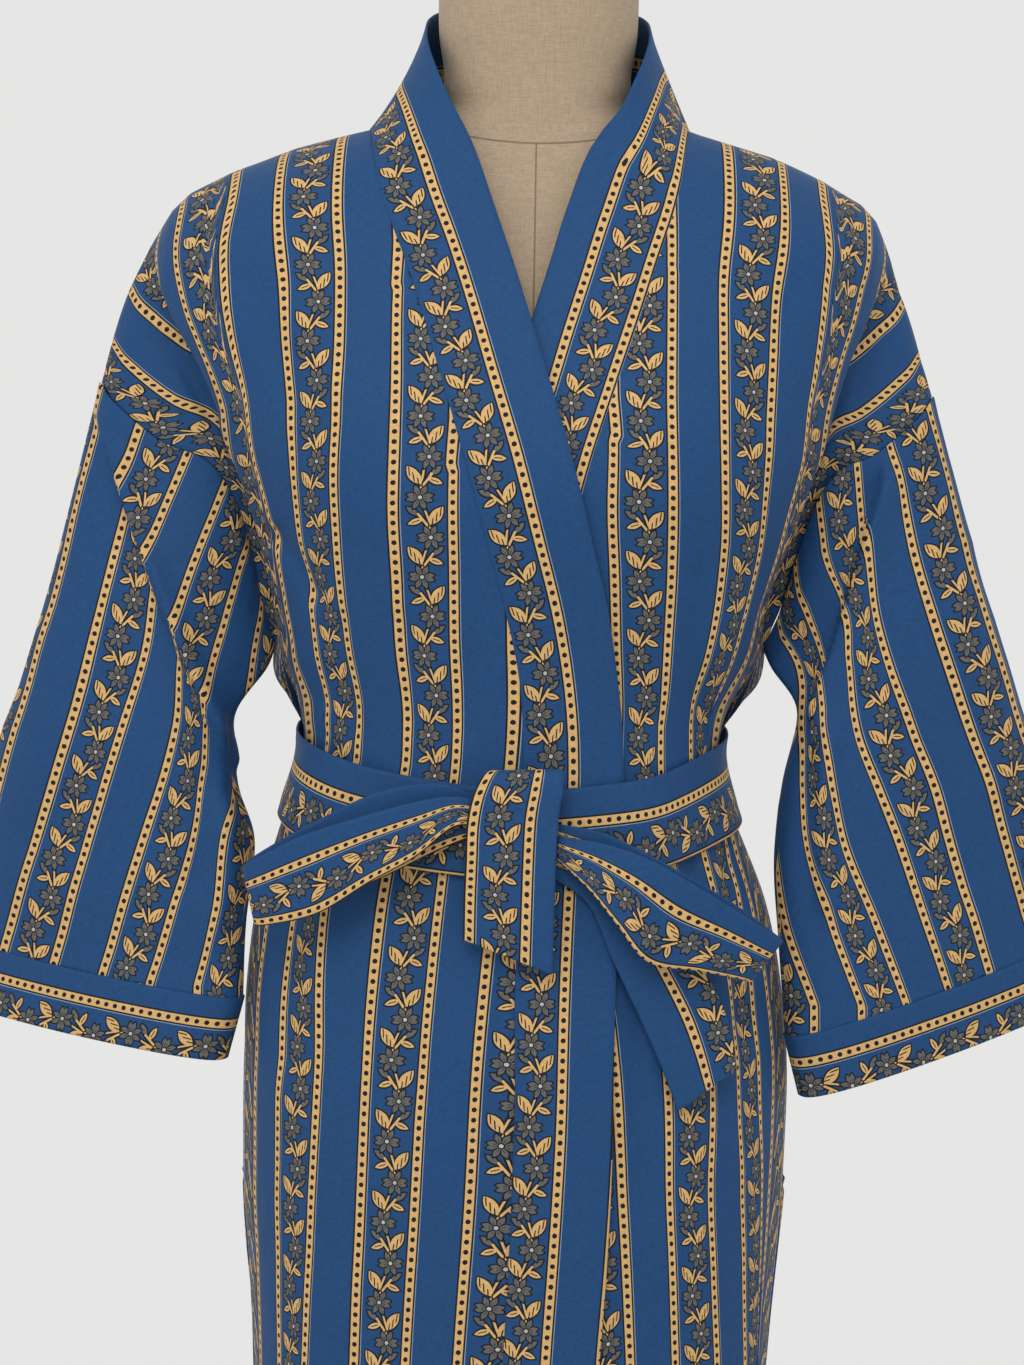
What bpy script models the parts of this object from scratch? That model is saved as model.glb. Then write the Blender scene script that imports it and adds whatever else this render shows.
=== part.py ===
"""Kimono robe worn on a limbless dress form. Millimetres: X right, Y away from the viewer, Z up."""

import math

import bpy
import numpy as np

MM = 0.001
GAP = 0.3
CLOTH = 1.5
BAND_CLOTH = 1.8
OVERLAP_LIFT = 5.0
SECTION_POWER = 2.4
DEPTH_AXIS = np.array([0.0, 1.0, 0.0])
WIDTH_AXIS = np.array([1.0, 0.0, 0.0])

# Shoulder line of the cloth: distance from the centre, height.
SHOULDER = np.array([
    [0, 1424], [95, 1390], [138, 1378], [173, 1365], [201, 1351], [212, 1341],
    [222, 1325], [231, 1307], [237, 1293], [247, 1259], [252, 1240],
])
SHOULDER_ROUNDING = 62

# How far the worn robe leans to the wearer's right: height, shift of its right side, shift of its left side.
LEAN = np.array([
    [200, 2, 3], [700, 2, 4], [800, 1, 5], [860, 1, 5], [940, 4, 8], [1000, 8, 10], [1035, 8, 9], [1060, 5, 8],
    [1085, 4, 6], [1110, 4, 5], [1155, 3, 6], [1180, 2, 10], [1205, 1, 14], [1228, 0, 17], [1260, 0, 20],
    [1300, 0, 20], [1320, 1, 16], [1343, 1, 13], [1366, 3, 12], [1385, 2, 6], [1400, 0, 0],
])
# Distance from the centre where that shift starts and where it is whole: height, start, whole.
LEAN_REACH = np.array([[200, 60, 130], [1050, 60, 125], [1120, 110, 165], [1200, 120, 230], [1400, 120, 235]])

# Cloth round the body: height, half width, front depth, back depth, depth of the back folds.
BODY = np.array([
    [1400, 230, 74, 86, 0], [1350, 229, 82, 98, 0], [1314, 227, 93, 106, 0], [1283, 217, 105, 110, 0],
    [1240, 196, 120, 112, 0], [1213, 184, 128, 112, 0], [1178, 166, 131, 111, 0], [1150, 157, 126, 109, 1],
    [1093, 144, 112, 104, 3], [1063, 129, 107, 101, 3], [1033, 122, 105, 100, 2], [1000, 130, 107, 104, 3],
    [942, 150, 113, 124, 8], [855, 160, 118, 138, 11], [788, 159, 117, 141, 13], [695, 151, 113, 140, 14],
    [500, 149, 111, 138, 16], [200, 151, 112, 140, 18],
])

# Stripes of the right front: height, then the distance from the centre of each stripe from the inner one out.
OVER_STRIPES = np.array([
    [1400, 12, 43, 76, 110, 143], [1345, 12, 43, 76, 109, 142], [1314, 12, 43, 74, 106, 138],
    [1283, 11, 43, 74, 105, 137], [1240, 10, 41, 73, 106, 134], [1210, 10, 41, 73, 107, 132],
    [1175, 10, 41, 73, 106, 129], [1140, 9, 40, 71, 104, 124], [1100, 8, 39, 69, 100, 118],
    [1063, 7, 37, 65, 92, 109], [1033, 8, 37, 64, 90, 107], [1000, 11, 40, 68, 95, 113],
    [942, 17, 46, 76, 106, 126], [866, 23, 52, 82, 109, 133], [788, 26, 55, 84, 111, 132],
    [695, 31, 59, 86, 113, 129], [200, 36, 62, 88, 113, 129],
])
# Stripes of the left front, the same way.
UNDER_STRIPES = np.array([
    [1400, 12, 43, 76, 110, 143], [1345, 12, 43, 76, 109, 142], [1314, 12, 43, 77, 106, 138],
    [1283, 11, 43, 77, 106, 137], [1240, 12, 44, 77, 107, 135], [1210, 13, 45, 78, 108, 133],
    [1175, 14, 45, 79, 109, 131], [1140, 16, 47, 79, 107, 126], [1100, 20, 49, 78, 103, 121],
    [1063, 22, 51, 77, 99, 114], [1033, 22, 51, 77, 99, 112], [1000, 24, 52, 80, 104, 121],
    [942, 40, 68, 96, 119, 135], [866, 52, 82, 111, 128, 140], [788, 58, 86, 112, 131, 143],
    [695, 64, 91, 117, 134, 142], [200, 66, 93, 118, 134, 142],
])
STRIPE_CLOTH = np.array([94.5, 63, 31.5, 0, -31.5])

# Angle round the section, from the front centre: height, third stripe out, fourth, chest fold, side seam.
SIDE_ANGLES = np.array([
    [1400, 45.9, 61.6, 73.4, 90], [1345, 45.5, 61.6, 73.4, 90], [1314, 44.6, 61.0, 74.4, 90],
    [1283, 47.3, 63.6, 73.0, 90], [1256, 50.7, 64.9, 73.5, 90], [1240, 52.6, 63.7, 73.2, 90],
    [1213, 55.1, 61.4, 73.9, 90], [1178, 61.4, 66.0, 74.6, 88], [1150, 63.4, 68.7, 74.1, 87],
    [1093, 64.3, 70.4, 75.2, 90], [1063, 68.0, 81.0, 90.0, 104], [1033, 73.0, 88.0, 98.0, 111],
    [942, 67.0, 81.0, 89.0, 102], [855, 66.5, 79.5, 86.5, 99], [788, 66.0, 79.5, 86.5, 99],
    [695, 69.0, 83.0, 90.0, 103], [200, 69.0, 83.0, 90.0, 103],
])
SIDE_CLOTH = np.array([-63, -94.5, -112])
HIGH_FOLD_CLOTH = -133
CHEST_COLUMNS = 13

# Seam of the neckband on each front: height, right front x, left front x.
BAND_SEAM = np.array([
    [1390, 95, 88], [1344, 84, 79], [1312, 71, 69], [1283, 61, 60], [1240, 48, 46], [1192, 33, 31],
    [1162, 25, 24], [1115, 12, 19], [1068, 3, 16], [1032, 1, 15], [985, 2, 20], [903, 3, 30],
    [842, 2, 34], [791, 3, 36], [699, 6, 41], [200, 10, 43],
])

# Free edge of the neckband on each front: height, right front x, left front x, towards the other side.
BAND_EDGE = np.array([
    [1382, -39, -35], [1342, -24, -19], [1308, -12, -9], [1274, -1, 1], [1236, 11, 11], [1210, 19, 19],
    [1181, 27, 26], [1149, 35, 32], [1122, 42, 35], [1082, 49, 39], [1049, 53, 40], [990, 54, 37],
    [935, 52, 27], [873, 51, 23], [812, 51, 20], [751, 49, 17], [700, 46, 15], [200, 43, 13],
])

# Free edge of the neckband round the neck, from the back centre to the front.
BAND_NECK_EDGE = np.array([
    [0, 67, 1468], [20, 65, 1468], [41, 56, 1467], [56, 39, 1465], [64, 18, 1459],
    [66, -4, 1450], [64, -27, 1437], [57, -46, 1418], [48, -58, 1399],
])

# Dropped shoulder outside the chest fold. Each row is a distance down the cloth, then a point for each of the
# chest fold, the fold's inner turn, two stripes and the armhole seam.
DROP = np.array([
    [0, 220, -1, 1327, 227, -1, 1314, 237, -1, 1293, 247, -1, 1260, 252, -1, 1240],
    [10, 220, -16, 1316, 222, -11, 1305, 232, -10, 1285, 241, -10, 1254, 246, -10, 1232],
    [28, 217, -31, 1300, 214, -19, 1292, 221, -16, 1275, 230, -16, 1246, 235, -16, 1222],
    [60, 206, -43, 1275, 199, -26, 1269, 203, -22, 1254, 208, -23, 1230, 213, -22, 1206],
    [100, 190, -50, 1245, 180, -29, 1241, 183, -24, 1230, 184, -25, 1213, 186, -25, 1195],
    [140, 175, -52, 1208, 165, -30, 1205, 167, -24, 1197, 168, -22, 1186, 170, -21, 1173],
    [180, 160, -50, 1172, 152, -29, 1169, 154, -21, 1161, 156, -16, 1151, 159, -12, 1141],
    [215, 149, -41, 1135, 144, -25, 1133, 146, -17, 1128, 149, -11, 1123, 153, -6, 1116],
    [250, 140, -30, 1099, 140, -20, 1098, 141, -13, 1096, 142, -7, 1095, 144, -1, 1092],
])
ARMHOLE = 250
# Below the armhole the dropped shoulder's shape fades into the side seam over this length.
FADE = 80
PULL_FADE = 90

# Sleeve edges as hung: share of the length, then outer and inner edge point, then half the thickness.
RIGHT_SLEEVE = np.array([
    [0.00, 252, 0, 1240, 143, 0, 1094, 13], [0.12, 259, 3, 1204, 147, -8, 1078, 18],
    [0.25, 268, 8, 1160, 162, -16, 1054, 24], [0.45, 283, 18, 1092, 162, -26, 1008, 29],
    [0.65, 301, 28, 1026, 152, -34, 975, 29], [0.82, 315, 36, 969, 158, -41, 932, 27],
    [1.00, 329, 42, 910, 160, -46, 889, 24],
])
LEFT_SLEEVE = np.array([
    [0.00, 252, 0, 1240, 143, 0, 1094, 13], [0.12, 258, 3, 1202, 149, -8, 1082, 18],
    [0.25, 265, 8, 1156, 165, -16, 1060, 24], [0.45, 283, 18, 1094, 161, -26, 1012, 29],
    [0.65, 306, 28, 1036, 156, -34, 967, 29], [0.82, 324, 36, 984, 157, -42, 929, 27],
    [1.00, 346, 42, 929, 159, -48, 873, 24],
])
SEAM_FADE = 0.55
SLEEVE_RINGS = 12
SLEEVE_COLUMNS = 24

# Belt: angle round the body from the front centre, height of its middle.
BELT = np.array([[0, 991], [30, 999], [60, 1010], [90, 1017], [130, 1020], [180, 1020]])
BELT_WIDTH = 48
BELT_CLEAR = 4.1

BAND_LIFT = 0.5
BAND_NECK_RISE = 0.012
BAND_ROWS = 40
BACK_NECK_HEIGHT = 1394
BACK_NECK_SAG = 6
BACK_NECK_SHARE = 0.42
BACK_FOLDS = 3.5
BACK_HALF_COLUMNS = 24
BOW_FORWARD = 1.5
BAND_GAP = 0.6
ARMHOLE_GAP = 2.3
CUFF_LIFT = 0.8
BELT_BACK_LIFT = 4.0
KNOT_CENTRE = np.array([0.0, -125.15, 993.0])
KNOT_HALF = np.array([19.0, 7.25, 17.0])

# Bow: each row gives a point of the strip's one edge and of its other edge.
CENTRE_TAIL = np.array([
    [-14, -113, 1020, 15, -113, 1020], [-17, -120, 1027, 18, -120, 1028], [-22, -130, 1026, 20, -130, 1028],
    [-28, -133, 1014, 20, -133, 1018], [-31, -133, 998, 18, -133, 1003], [-31.5, -133, 978, 17, -133, 980],
    [-32, -132.5, 958, 16.5, -132.5, 948], [-32, -132, 936, 16, -132, 918],
])
LEFT_LOOP = np.array([
    [-19, -122, 1008, -19, -122, 995], [-45, -125, 1019, -45, -124, 985], [-80, -124, 1014, -82, -122, 966],
    [-120, -117, 994, -118, -115, 950], [-146, -108, 978, -140, -107, 944],
    [-154, -112, 971, -147, -112, 941],
    [-147, -120, 976, -140, -120, 941], [-121, -128, 990, -112, -128, 949], [-90, -133, 1001, -84, -133, 967],
    [-60, -134, 1010, -60, -134, 981], [-38, -130.5, 1013, -38, -130.5, 998],
    [-19, -125.5, 1009, -19, -125.5, 995],
])
RIGHT_LOOP = np.array([
    [19, -125.5, 992, 19, -125.5, 980], [42, -131.5, 989, 37, -131.5, 964], [66, -136, 982, 52, -135, 946],
    [92, -133, 968, 69, -133, 926], [118, -126, 952, 96, -127, 921], [137, -118, 939, 119, -119, 916],
    [141, -112, 937, 124, -112, 914], [116, -114, 955, 97, -115, 925], [80, -121, 976, 66, -121, 942],
    [45, -123, 993, 42, -123, 968], [19, -122, 998, 19, -122, 986],
])
RIGHT_TAIL = np.array([
    [12, -120.5, 972, 16.7, -120.7, 984], [36, -119, 955, 53, -118.5, 970], [50, -119, 925, 84, -115, 942],
    [67, -115, 890, 107, -107, 906], [78, -113, 866, 116, -104, 882], [88, -111, 841, 120, -102, 862],
])

# Dress form: height, half width, front depth, back depth.
TORSO = np.array([
    [742, 60, 40, 44], [744, 106, 72, 80], [750, 128, 86, 96], [762, 138, 94, 105], [800, 146, 100, 112],
    [870, 149, 105, 117], [930, 140, 102, 107], [985, 118, 96, 92], [1035, 104, 90, 82],
    [1080, 115, 96, 82], [1130, 137, 110, 90], [1185, 152, 120, 97], [1230, 163, 109, 98],
    [1280, 174, 93, 97], [1320, 178, 79, 92], [1340, 179, 74, 90], [1352, 174, 70, 86],
    [1362, 157, 65, 80], [1372, 134, 61, 73], [1382, 101, 56, 63], [1395, 61, 54, 55],
    [1415, 55, 53, 53], [1448, 58, 55, 55], [1500, 58, 55, 55],
])
TORSO_POWER = 2.3
TORSO_COLUMNS = 28
NECK_TOP = 1500
CAP_TOP = 1516
CAP_RADIUS = 52
POLE_RADIUS = 15
BASE_RADIUS = 165
BASE_HEIGHT = 22

BLUE_COTTON = (0.02, 0.06, 0.2)
BEIGE_LINEN = (0.42, 0.34, 0.25)
DARK_WOOD = (0.05, 0.03, 0.02)
BLACK_PAINT = (0.02, 0.02, 0.022)


def smooth(knots, values, at):
    """Cubic through the knots, flat past both ends. Values may hold a row per knot."""
    knots = np.asarray(knots, float)
    values = np.asarray(values, float)
    if knots[0] > knots[-1]:
        knots, values = knots[::-1], values[::-1]
    slopes = np.gradient(values, knots, axis=0)
    at = np.clip(np.asarray(at, float), knots[0], knots[-1])
    i = np.clip(np.searchsorted(knots, at, side="right") - 1, 0, len(knots) - 2)
    step = knots[i + 1] - knots[i]
    t = (at - knots[i]) / step
    if values.ndim > 1:
        step, t = step[..., None], t[..., None]
    rise = values[i + 1] - values[i]
    start, end = slopes[i] * step, slopes[i + 1] * step
    return values[i] + t * (start + t * (3 * rise - 2 * start - end + t * (start + end - 2 * rise)))


def ease(t):
    t = np.clip(t, 0, 1)
    return t * t * (3 - 2 * t)


def body(column, z):
    return smooth(BODY[:, 0], BODY[:, column], z)


def shoulder(x):
    return np.interp(np.abs(x), SHOULDER[:, 0], SHOULDER[:, 1])


def section_point(angle, z, lift=0.0, back_fold=0.0):
    """Point of the cloth section at this height, turned by angle from the front centre."""
    share = 2 / SECTION_POWER
    sine, cosine = np.sin(angle), np.cos(angle)
    depth = np.where(cosine > 0, body(2, z), body(3, z) + back_fold)
    x = (body(1, z) + lift) * np.sign(sine) * np.abs(sine) ** share
    y = -(depth + lift) * np.sign(cosine) * np.abs(cosine) ** share
    drop = np.clip((shoulder(x) - z) / SHOULDER_ROUNDING, 0, 1)
    y = y * np.sqrt(1 - (1 - drop) ** 2)
    return np.stack(np.broadcast_arrays(x, y, z), axis=-1)


def angle_of(x, z):
    return np.arcsin(np.clip(np.abs(x) / body(1, z), 0, 1) ** (SECTION_POWER / 2))


def row_height(x, v):
    """Height of the cloth v below the shoulder line: level from the waist down, along the shoulder above."""
    slope = 1 - ease((v - 120) / 220)
    return 1351 - v + (shoulder(x) - 1351) * slope


def leaned(grid):
    """The grid moved to the wearer's right by the lean at each height."""
    x, z = grid[..., 0], grid[..., 2]
    right, left = (np.interp(z, LEAN[:, 0], LEAN[:, column]) for column in (1, 2))
    start, whole = (np.interp(z, LEAN_REACH[:, 0], LEAN_REACH[:, column]) for column in (1, 2))
    shift = np.where(x < 0, right, left) * ease((np.abs(x) - start) / (whole - start))
    return grid - shift[..., None] * WIDTH_AXIS


def wall(name, grid, thickness, material, across_top=None, ring=False):
    """A closed solid: the grid as its outer face, and an inner face moved in by the thickness."""
    grid = np.asarray(grid, float)
    along = np.gradient(grid, axis=0)
    if ring:
        across = np.roll(grid, -1, axis=1) - np.roll(grid, 1, axis=1)
    else:
        across = np.gradient(grid, axis=1)
    normal = np.cross(along, across)
    if across_top is not None:
        normal[0] -= np.outer(normal[0] @ across_top, across_top)
    normal /= np.maximum(np.linalg.norm(normal, axis=-1, keepdims=True), 1e-9)
    rows, columns = grid.shape[:2]
    inner = grid - normal * thickness
    points = np.concatenate([grid.reshape(-1, 3), inner.reshape(-1, 3)])
    size = rows * columns

    def at(i, j, layer):
        return layer * size + i * columns + j % columns

    faces = []
    spans = columns if ring else columns - 1
    for i in range(rows - 1):
        for j in range(spans):
            faces.append((at(i, j, 0), at(i + 1, j, 0), at(i + 1, j + 1, 0), at(i, j + 1, 0)))
            faces.append((at(i, j, 1), at(i, j + 1, 1), at(i + 1, j + 1, 1), at(i + 1, j, 1)))
    for j in range(spans):
        faces.append((at(0, j, 0), at(0, j + 1, 0), at(0, j + 1, 1), at(0, j, 1)))
        last = rows - 1
        faces.append((at(last, j, 0), at(last, j, 1), at(last, j + 1, 1), at(last, j + 1, 0)))
    if not ring:
        for i in range(rows - 1):
            faces.append((at(i, 0, 0), at(i, 0, 1), at(i + 1, 0, 1), at(i + 1, 0, 0)))
            end = columns - 1
            faces.append((at(i, end, 0), at(i + 1, end, 0), at(i + 1, end, 1), at(i, end, 1)))
    return add_body(name, points, faces, material)


def add_body(name, points, faces, material):
    """Adds a mesh object, its faces turned outward."""
    points = np.asarray(points, float) * MM
    volume = 0.0
    for face in faces:
        for k in range(1, len(face) - 1):
            volume += np.dot(points[face[0]], np.cross(points[face[k]], points[face[k + 1]]))
    if volume < 0:
        faces = [face[::-1] for face in faces]
    mesh = bpy.data.meshes.new(name)
    mesh.from_pydata([tuple(p) for p in points], [], [tuple(int(k) for k in face) for face in faces])
    mesh.materials.append(material)
    piece = bpy.data.objects.new(name, mesh)
    bpy.context.scene.collection.objects.link(piece)
    return piece


def trimmed(grid, top=0.0, bottom=0.0, start=0.0, end=0.0):
    """The grid with its border rows and columns drawn in by these distances."""
    grid = grid.copy()
    for edge, inside, distance in ((0, 1, top), (-1, -2, bottom)):
        step = grid[inside] - grid[edge]
        grid[edge] += step / np.linalg.norm(step, axis=-1, keepdims=True) * distance
    for edge, inside, distance in ((0, 1, start), (-1, -2, end)):
        step = grid[:, inside] - grid[:, edge]
        grid[:, edge] += step / np.linalg.norm(step, axis=-1, keepdims=True) * distance
    return grid


def trimmed_rings(rings):
    """The rings with the first drawn in, away from the armhole seam."""
    rings = rings.copy()
    step = rings[1] - rings[0]
    rings[0] += step / np.linalg.norm(step, axis=1, keepdims=True) * ARMHOLE_GAP
    return rings


def material(name, colour, roughness):
    made = bpy.data.materials.new(name)
    made.use_nodes = True
    shader = made.node_tree.nodes["Principled BSDF"]
    shader.inputs["Base Color"].default_value = (*colour, 1)
    shader.inputs["Roughness"].default_value = roughness
    return made


def cloth_rows():
    """Distances down the cloth of the grid rows, with the armhole's end as one of them."""
    upper = [0, 6, 16, 32, 54, 80, 108, 136, 164, 192, 220, ARMHOLE]
    lower = [285, 318, 345, 378, 420, 470, 530, 600, 680, 770, 860, 950, 1050, 1151]
    return np.array(upper + lower, float)


def front_grid(stripes, seam_column, lift):
    """One front, on the negative x side: rows down the cloth, columns from the neckband seam to the side."""
    rows = []
    for v in cloth_rows():
        x = np.interp(v, [0, 150, 400], [90.0, 50.0, 3.0])
        for _ in range(12):
            x = smooth(BAND_SEAM[:, 0], BAND_SEAM[:, seam_column], row_height(x, v))
        seam_angle = angle_of(x, row_height(x, v))
        corner = drop_row(v)[0]
        z_side = corner[2] if v <= ARMHOLE else row_height(160.0, v)
        inner_x = smooth(stripes[:, 0], stripes[:, 1:], np.full(1, row_height(x, v)))[0]
        side = smooth(SIDE_ANGLES[:, 0], SIDE_ANGLES[:, 1:], np.full(1, z_side))[0]
        knots = np.concatenate([angle_of(inner_x, row_height(inner_x, v)), np.radians(side[:3])])
        fold_cloth = HIGH_FOLD_CLOTH + (SIDE_CLOTH[2] - HIGH_FOLD_CLOTH) * ease(v / 80)
        cloth = np.concatenate([STRIPE_CLOTH, SIDE_CLOTH[:2], [fold_cloth]])
        keep = knots > seam_angle + 0.04
        seam_cloth = np.interp(seam_angle, knots, cloth)
        if seam_angle < knots[0]:
            stretch = (cloth[0] - cloth[1]) / (knots[1] - knots[0])
            seam_cloth = cloth[0] + (knots[0] - seam_angle) * stretch
        us = np.linspace(seam_cloth, fold_cloth, CHEST_COLUMNS)
        all_knots = np.concatenate([[seam_angle], knots[keep]])
        all_cloth = np.concatenate([[seam_cloth + 0.01], cloth[keep]])
        angles = smooth(all_cloth, all_knots, us)
        z = np.full(CHEST_COLUMNS, row_height(x, v))
        for _ in range(6):
            z = row_height(section_point(angles, z)[:, 0], v)
        share = np.linspace(0, 1, CHEST_COLUMNS)
        near = lift * (1 - ease((share - 0.25) / 0.5))
        row = section_point(angles, z, near)
        row[:, 0] *= -1
        corner = corner * [-1, 1, 1]
        pull = 1 - ease((v - ARMHOLE) / PULL_FADE)
        if v <= ARMHOLE:
            joining = corner - row[-1]
        row += np.outer(share**3, joining * pull)
        outer = drop_row(v)[1:] * [-1, 1, 1]
        if v > ARMHOLE:
            spread = np.linspace(0, 1, 5)[1:]
            lower_angles = angles[-1] + (np.radians(side[3]) - angles[-1]) * spread
            lower = section_point(lower_angles, np.full(4, z[-1]))
            lower[:, 0] *= -1
            outer = outer + [0, 0, ARMHOLE - v]
            outer = outer + (lower - outer) * ease((v - ARMHOLE) / FADE)
        rows.append(np.concatenate([row, outer]))
    return np.array(rows)


def drop_row(v):
    """Points of the dropped shoulder this far down the armhole, on the positive x side."""
    return smooth(DROP[:, 0], DROP[:, 1:], np.full(1, min(v, ARMHOLE)))[0].reshape(5, 3)


def back_grid():
    """The back: rows down the cloth, columns from one armhole or side seam to the other."""
    rows = []
    for v in cloth_rows():
        corner = drop_row(v) * [1, -1, 1]
        z_side = row_height(160.0, v)
        side = smooth(SIDE_ANGLES[:, 0], SIDE_ANGLES[:, 1:], np.full(1, z_side))[0]
        seam_angle = np.radians(side[3])
        fold_angle = np.pi - angle_of(corner[0, 0], corner[0, 2])
        if v > ARMHOLE:
            low_angle = seam_angle + (np.pi - seam_angle) * 0.1
            fold_angle += (low_angle - fold_angle) * ease((v - ARMHOLE) / PULL_FADE)
        share = np.linspace(0, 1, BACK_HALF_COLUMNS)
        angles = np.pi - (np.pi - fold_angle) * share
        z = np.full(BACK_HALF_COLUMNS, row_height(0.0, v))
        for _ in range(6):
            z = row_height(section_point(angles, z)[:, 0], v)
        if v < 60:
            neck = neck_back_height(share)
            z = np.minimum(z, neck - v * 0.9)
        folds = smooth(BODY[:, 0], BODY[:, 4], z) * np.cos(share * BACK_FOLDS * 2 * np.pi)
        half = section_point(angles, z, 0.0, folds)
        pull = 1 - ease((v - ARMHOLE) / PULL_FADE)
        if v <= ARMHOLE:
            joining = corner[0] - half[-1]
        half += np.outer(share**3, joining * pull)
        outer = corner[1:]
        if v > ARMHOLE:
            spread = np.linspace(0, 1, 5)[1:]
            lower_angles = angles[-1] + (seam_angle - angles[-1]) * spread
            lower = section_point(lower_angles, np.full(4, z[-1]))
            outer = outer + [0, 0, ARMHOLE - v]
            outer = outer + (lower - outer) * ease((v - ARMHOLE) / FADE)
        half = np.concatenate([half, outer])
        rows.append(np.concatenate([half[:0:-1] * [-1, 1, 1], half]))
    return np.array(rows)


def neck_back_height(share):
    """Height of the back's top edge: the neckline in the middle, then the shoulder line."""
    neckline = BACK_NECK_HEIGHT - BACK_NECK_SAG * share / BACK_NECK_SHARE
    return np.where(share < BACK_NECK_SHARE, neckline, np.inf)


def sleeve_rings(table):
    """Rings of a sleeve on the positive x side, from the armhole seam to the cuff."""
    turn = np.linspace(0, 2 * np.pi, SLEEVE_COLUMNS, endpoint=False)
    down = ARMHOLE * np.where(turn <= np.pi, turn, 2 * np.pi - turn) / np.pi
    armhole = np.array([drop_row(v)[4] for v in down])
    armhole[:, 1] = np.where(turn <= np.pi, armhole[:, 1], -armhole[:, 1])
    rings = []
    for share in np.linspace(0, 1, SLEEVE_RINGS) ** 1.15:
        rings.append(sleeve_ring(table, share, turn))
        rings[-1] += (armhole - sleeve_ring(table, 0.0, turn)) * (1 - ease(share / SEAM_FADE)) ** 1.5
    return np.array(rings)


def sleeve_ring(table, share, turn):
    """Section of the hanging sleeve at this share of its length, from the outer edge round the front."""
    row = smooth(table[:, 0], table[:, 1:], np.full(1, share))[0]
    outer, inner, thick = row[:3], row[3:6], row[6]
    half = (outer - inner) / 2
    flat = np.array([half[1], -half[0], 0.0]) / np.hypot(half[0], half[1])
    sine = np.sin(turn)
    swell = np.sign(sine) * np.abs(sine) ** 0.8
    return (outer + inner) / 2 + np.outer(np.cos(turn), half) + np.outer(swell * thick, flat)


def cuff_rings(sleeve_end, shift):
    """The cuff band: from the sleeve's end on, just outside it."""
    centre = sleeve_end.mean(axis=0)
    outward = sleeve_end - centre
    outward /= np.linalg.norm(outward, axis=1, keepdims=True)
    start = sleeve_end + outward * CUFF_LIFT
    start += np.array(shift) / np.linalg.norm(shift) * GAP
    return np.array([start + np.array(shift) * share for share in (0, 0.5, 1)])


def front_depth(x, z, lift):
    """Depth of the front's surface at a place."""
    share = np.clip(np.abs(x) / body(1, z), 0, 1) ** SECTION_POWER
    drop = np.clip((shoulder(x) - z) / SHOULDER_ROUNDING, 0, 1)
    return -(body(2, z) + lift) * (1 - share) ** (1 / SECTION_POWER) * np.sqrt(1 - (1 - drop) ** 2)


def resampled(path, samples):
    """Evenly spaced points on a smooth curve through the path."""
    knots = np.concatenate([[0], np.cumsum(np.linalg.norm(np.diff(path, axis=0), axis=1))])
    return smooth(knots, path, np.linspace(0, knots[-1], samples))


def neckband_grid(front, back_top, column, lift):
    """Half of the neckband, on the negative x side: rows from the back centre to the hem, columns inward."""
    middle = len(back_top) // 2
    neck_seam = [p for p in back_top[: middle + 1][::-1] if p[0] > -93]
    seam = resampled(np.concatenate([np.array(neck_seam), front[:, 0]]), BAND_ROWS)
    z = BAND_EDGE[:, 0]
    x = -BAND_EDGE[:, column]
    low_edge = np.stack([x, front_depth(x, z, lift), z], axis=1)
    edge = resampled(np.concatenate([BAND_NECK_EDGE, low_edge]) * [-1, 1, 1], 900)
    rows = []
    last = 0
    for k, point in enumerate(seam):
        ahead = edge[last:last + 120]
        nearest = last + int(np.argmin(np.linalg.norm(ahead - point, axis=1)))
        if k == 0:
            nearest = 0
        if k == BAND_ROWS - 1:
            nearest = len(edge) - 1
        last = nearest
        raised = BAND_NECK_RISE * ease((point[1] + 90) / 50)
        share = np.linspace(raised, 1, 4)[:, None]
        row = point + (edge[nearest] - point) * share
        on_body = front_depth(row[:, 0], row[:, 2], lift)
        weight = ease((1392 - row[:, 2]) / 40) if point[1] < 0 else 0.0
        row[:, 1] += (on_body - row[:, 1]) * weight
        rows.append(row)
    return np.array(rows)


def belt_rings(columns):
    """The belt: rows from its top edge down, columns round the body."""
    turn = np.linspace(0, 2 * np.pi, columns, endpoint=False)
    from_front = np.where(turn <= np.pi, turn, 2 * np.pi - turn)
    middle = smooth(np.radians(BELT[:, 0]), BELT[:, 1], from_front)
    reach = np.where(turn <= np.pi, 0.55, 1.0)
    front_lift = (OVERLAP_LIFT + BAND_LIFT) * (1 - ease((from_front - reach * 0.6) / (reach * 0.8)))
    back_lift = BELT_BACK_LIFT * ease((from_front - 1.5) / 0.5)
    rows = []
    for level in (0.5, 0.0, -0.5):
        rows.append(section_point(turn, middle + level * BELT_WIDTH, BELT_CLEAR + front_lift + back_lift))
    return np.array(rows)


def ribbon_grid(edges, samples, columns):
    """A strip whose table gives one edge point and the other, row by row."""
    one = smooth(np.arange(len(edges)), edges[:, :3], np.linspace(0, len(edges) - 1, samples))
    other = smooth(np.arange(len(edges)), edges[:, 3:], np.linspace(0, len(edges) - 1, samples))
    share = np.linspace(0, 1, columns)[None, :, None]
    return one[:, None] * (1 - share) + other[:, None] * share - [0, BOW_FORWARD, 0]


def stacked(name, rings, made_of):
    """A solid through these rings, closed by a flat face at each end."""
    count, columns = rings.shape[:2]
    faces = []
    for i in range(count - 1):
        for j in range(columns):
            k = (j + 1) % columns
            faces.append((i * columns + j, (i + 1) * columns + j, (i + 1) * columns + k, i * columns + k))
    faces.append(tuple(range(columns)))
    faces.append(tuple(reversed(range((count - 1) * columns, count * columns))))
    return add_body(name, rings.reshape(-1, 3), faces, made_of)


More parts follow.
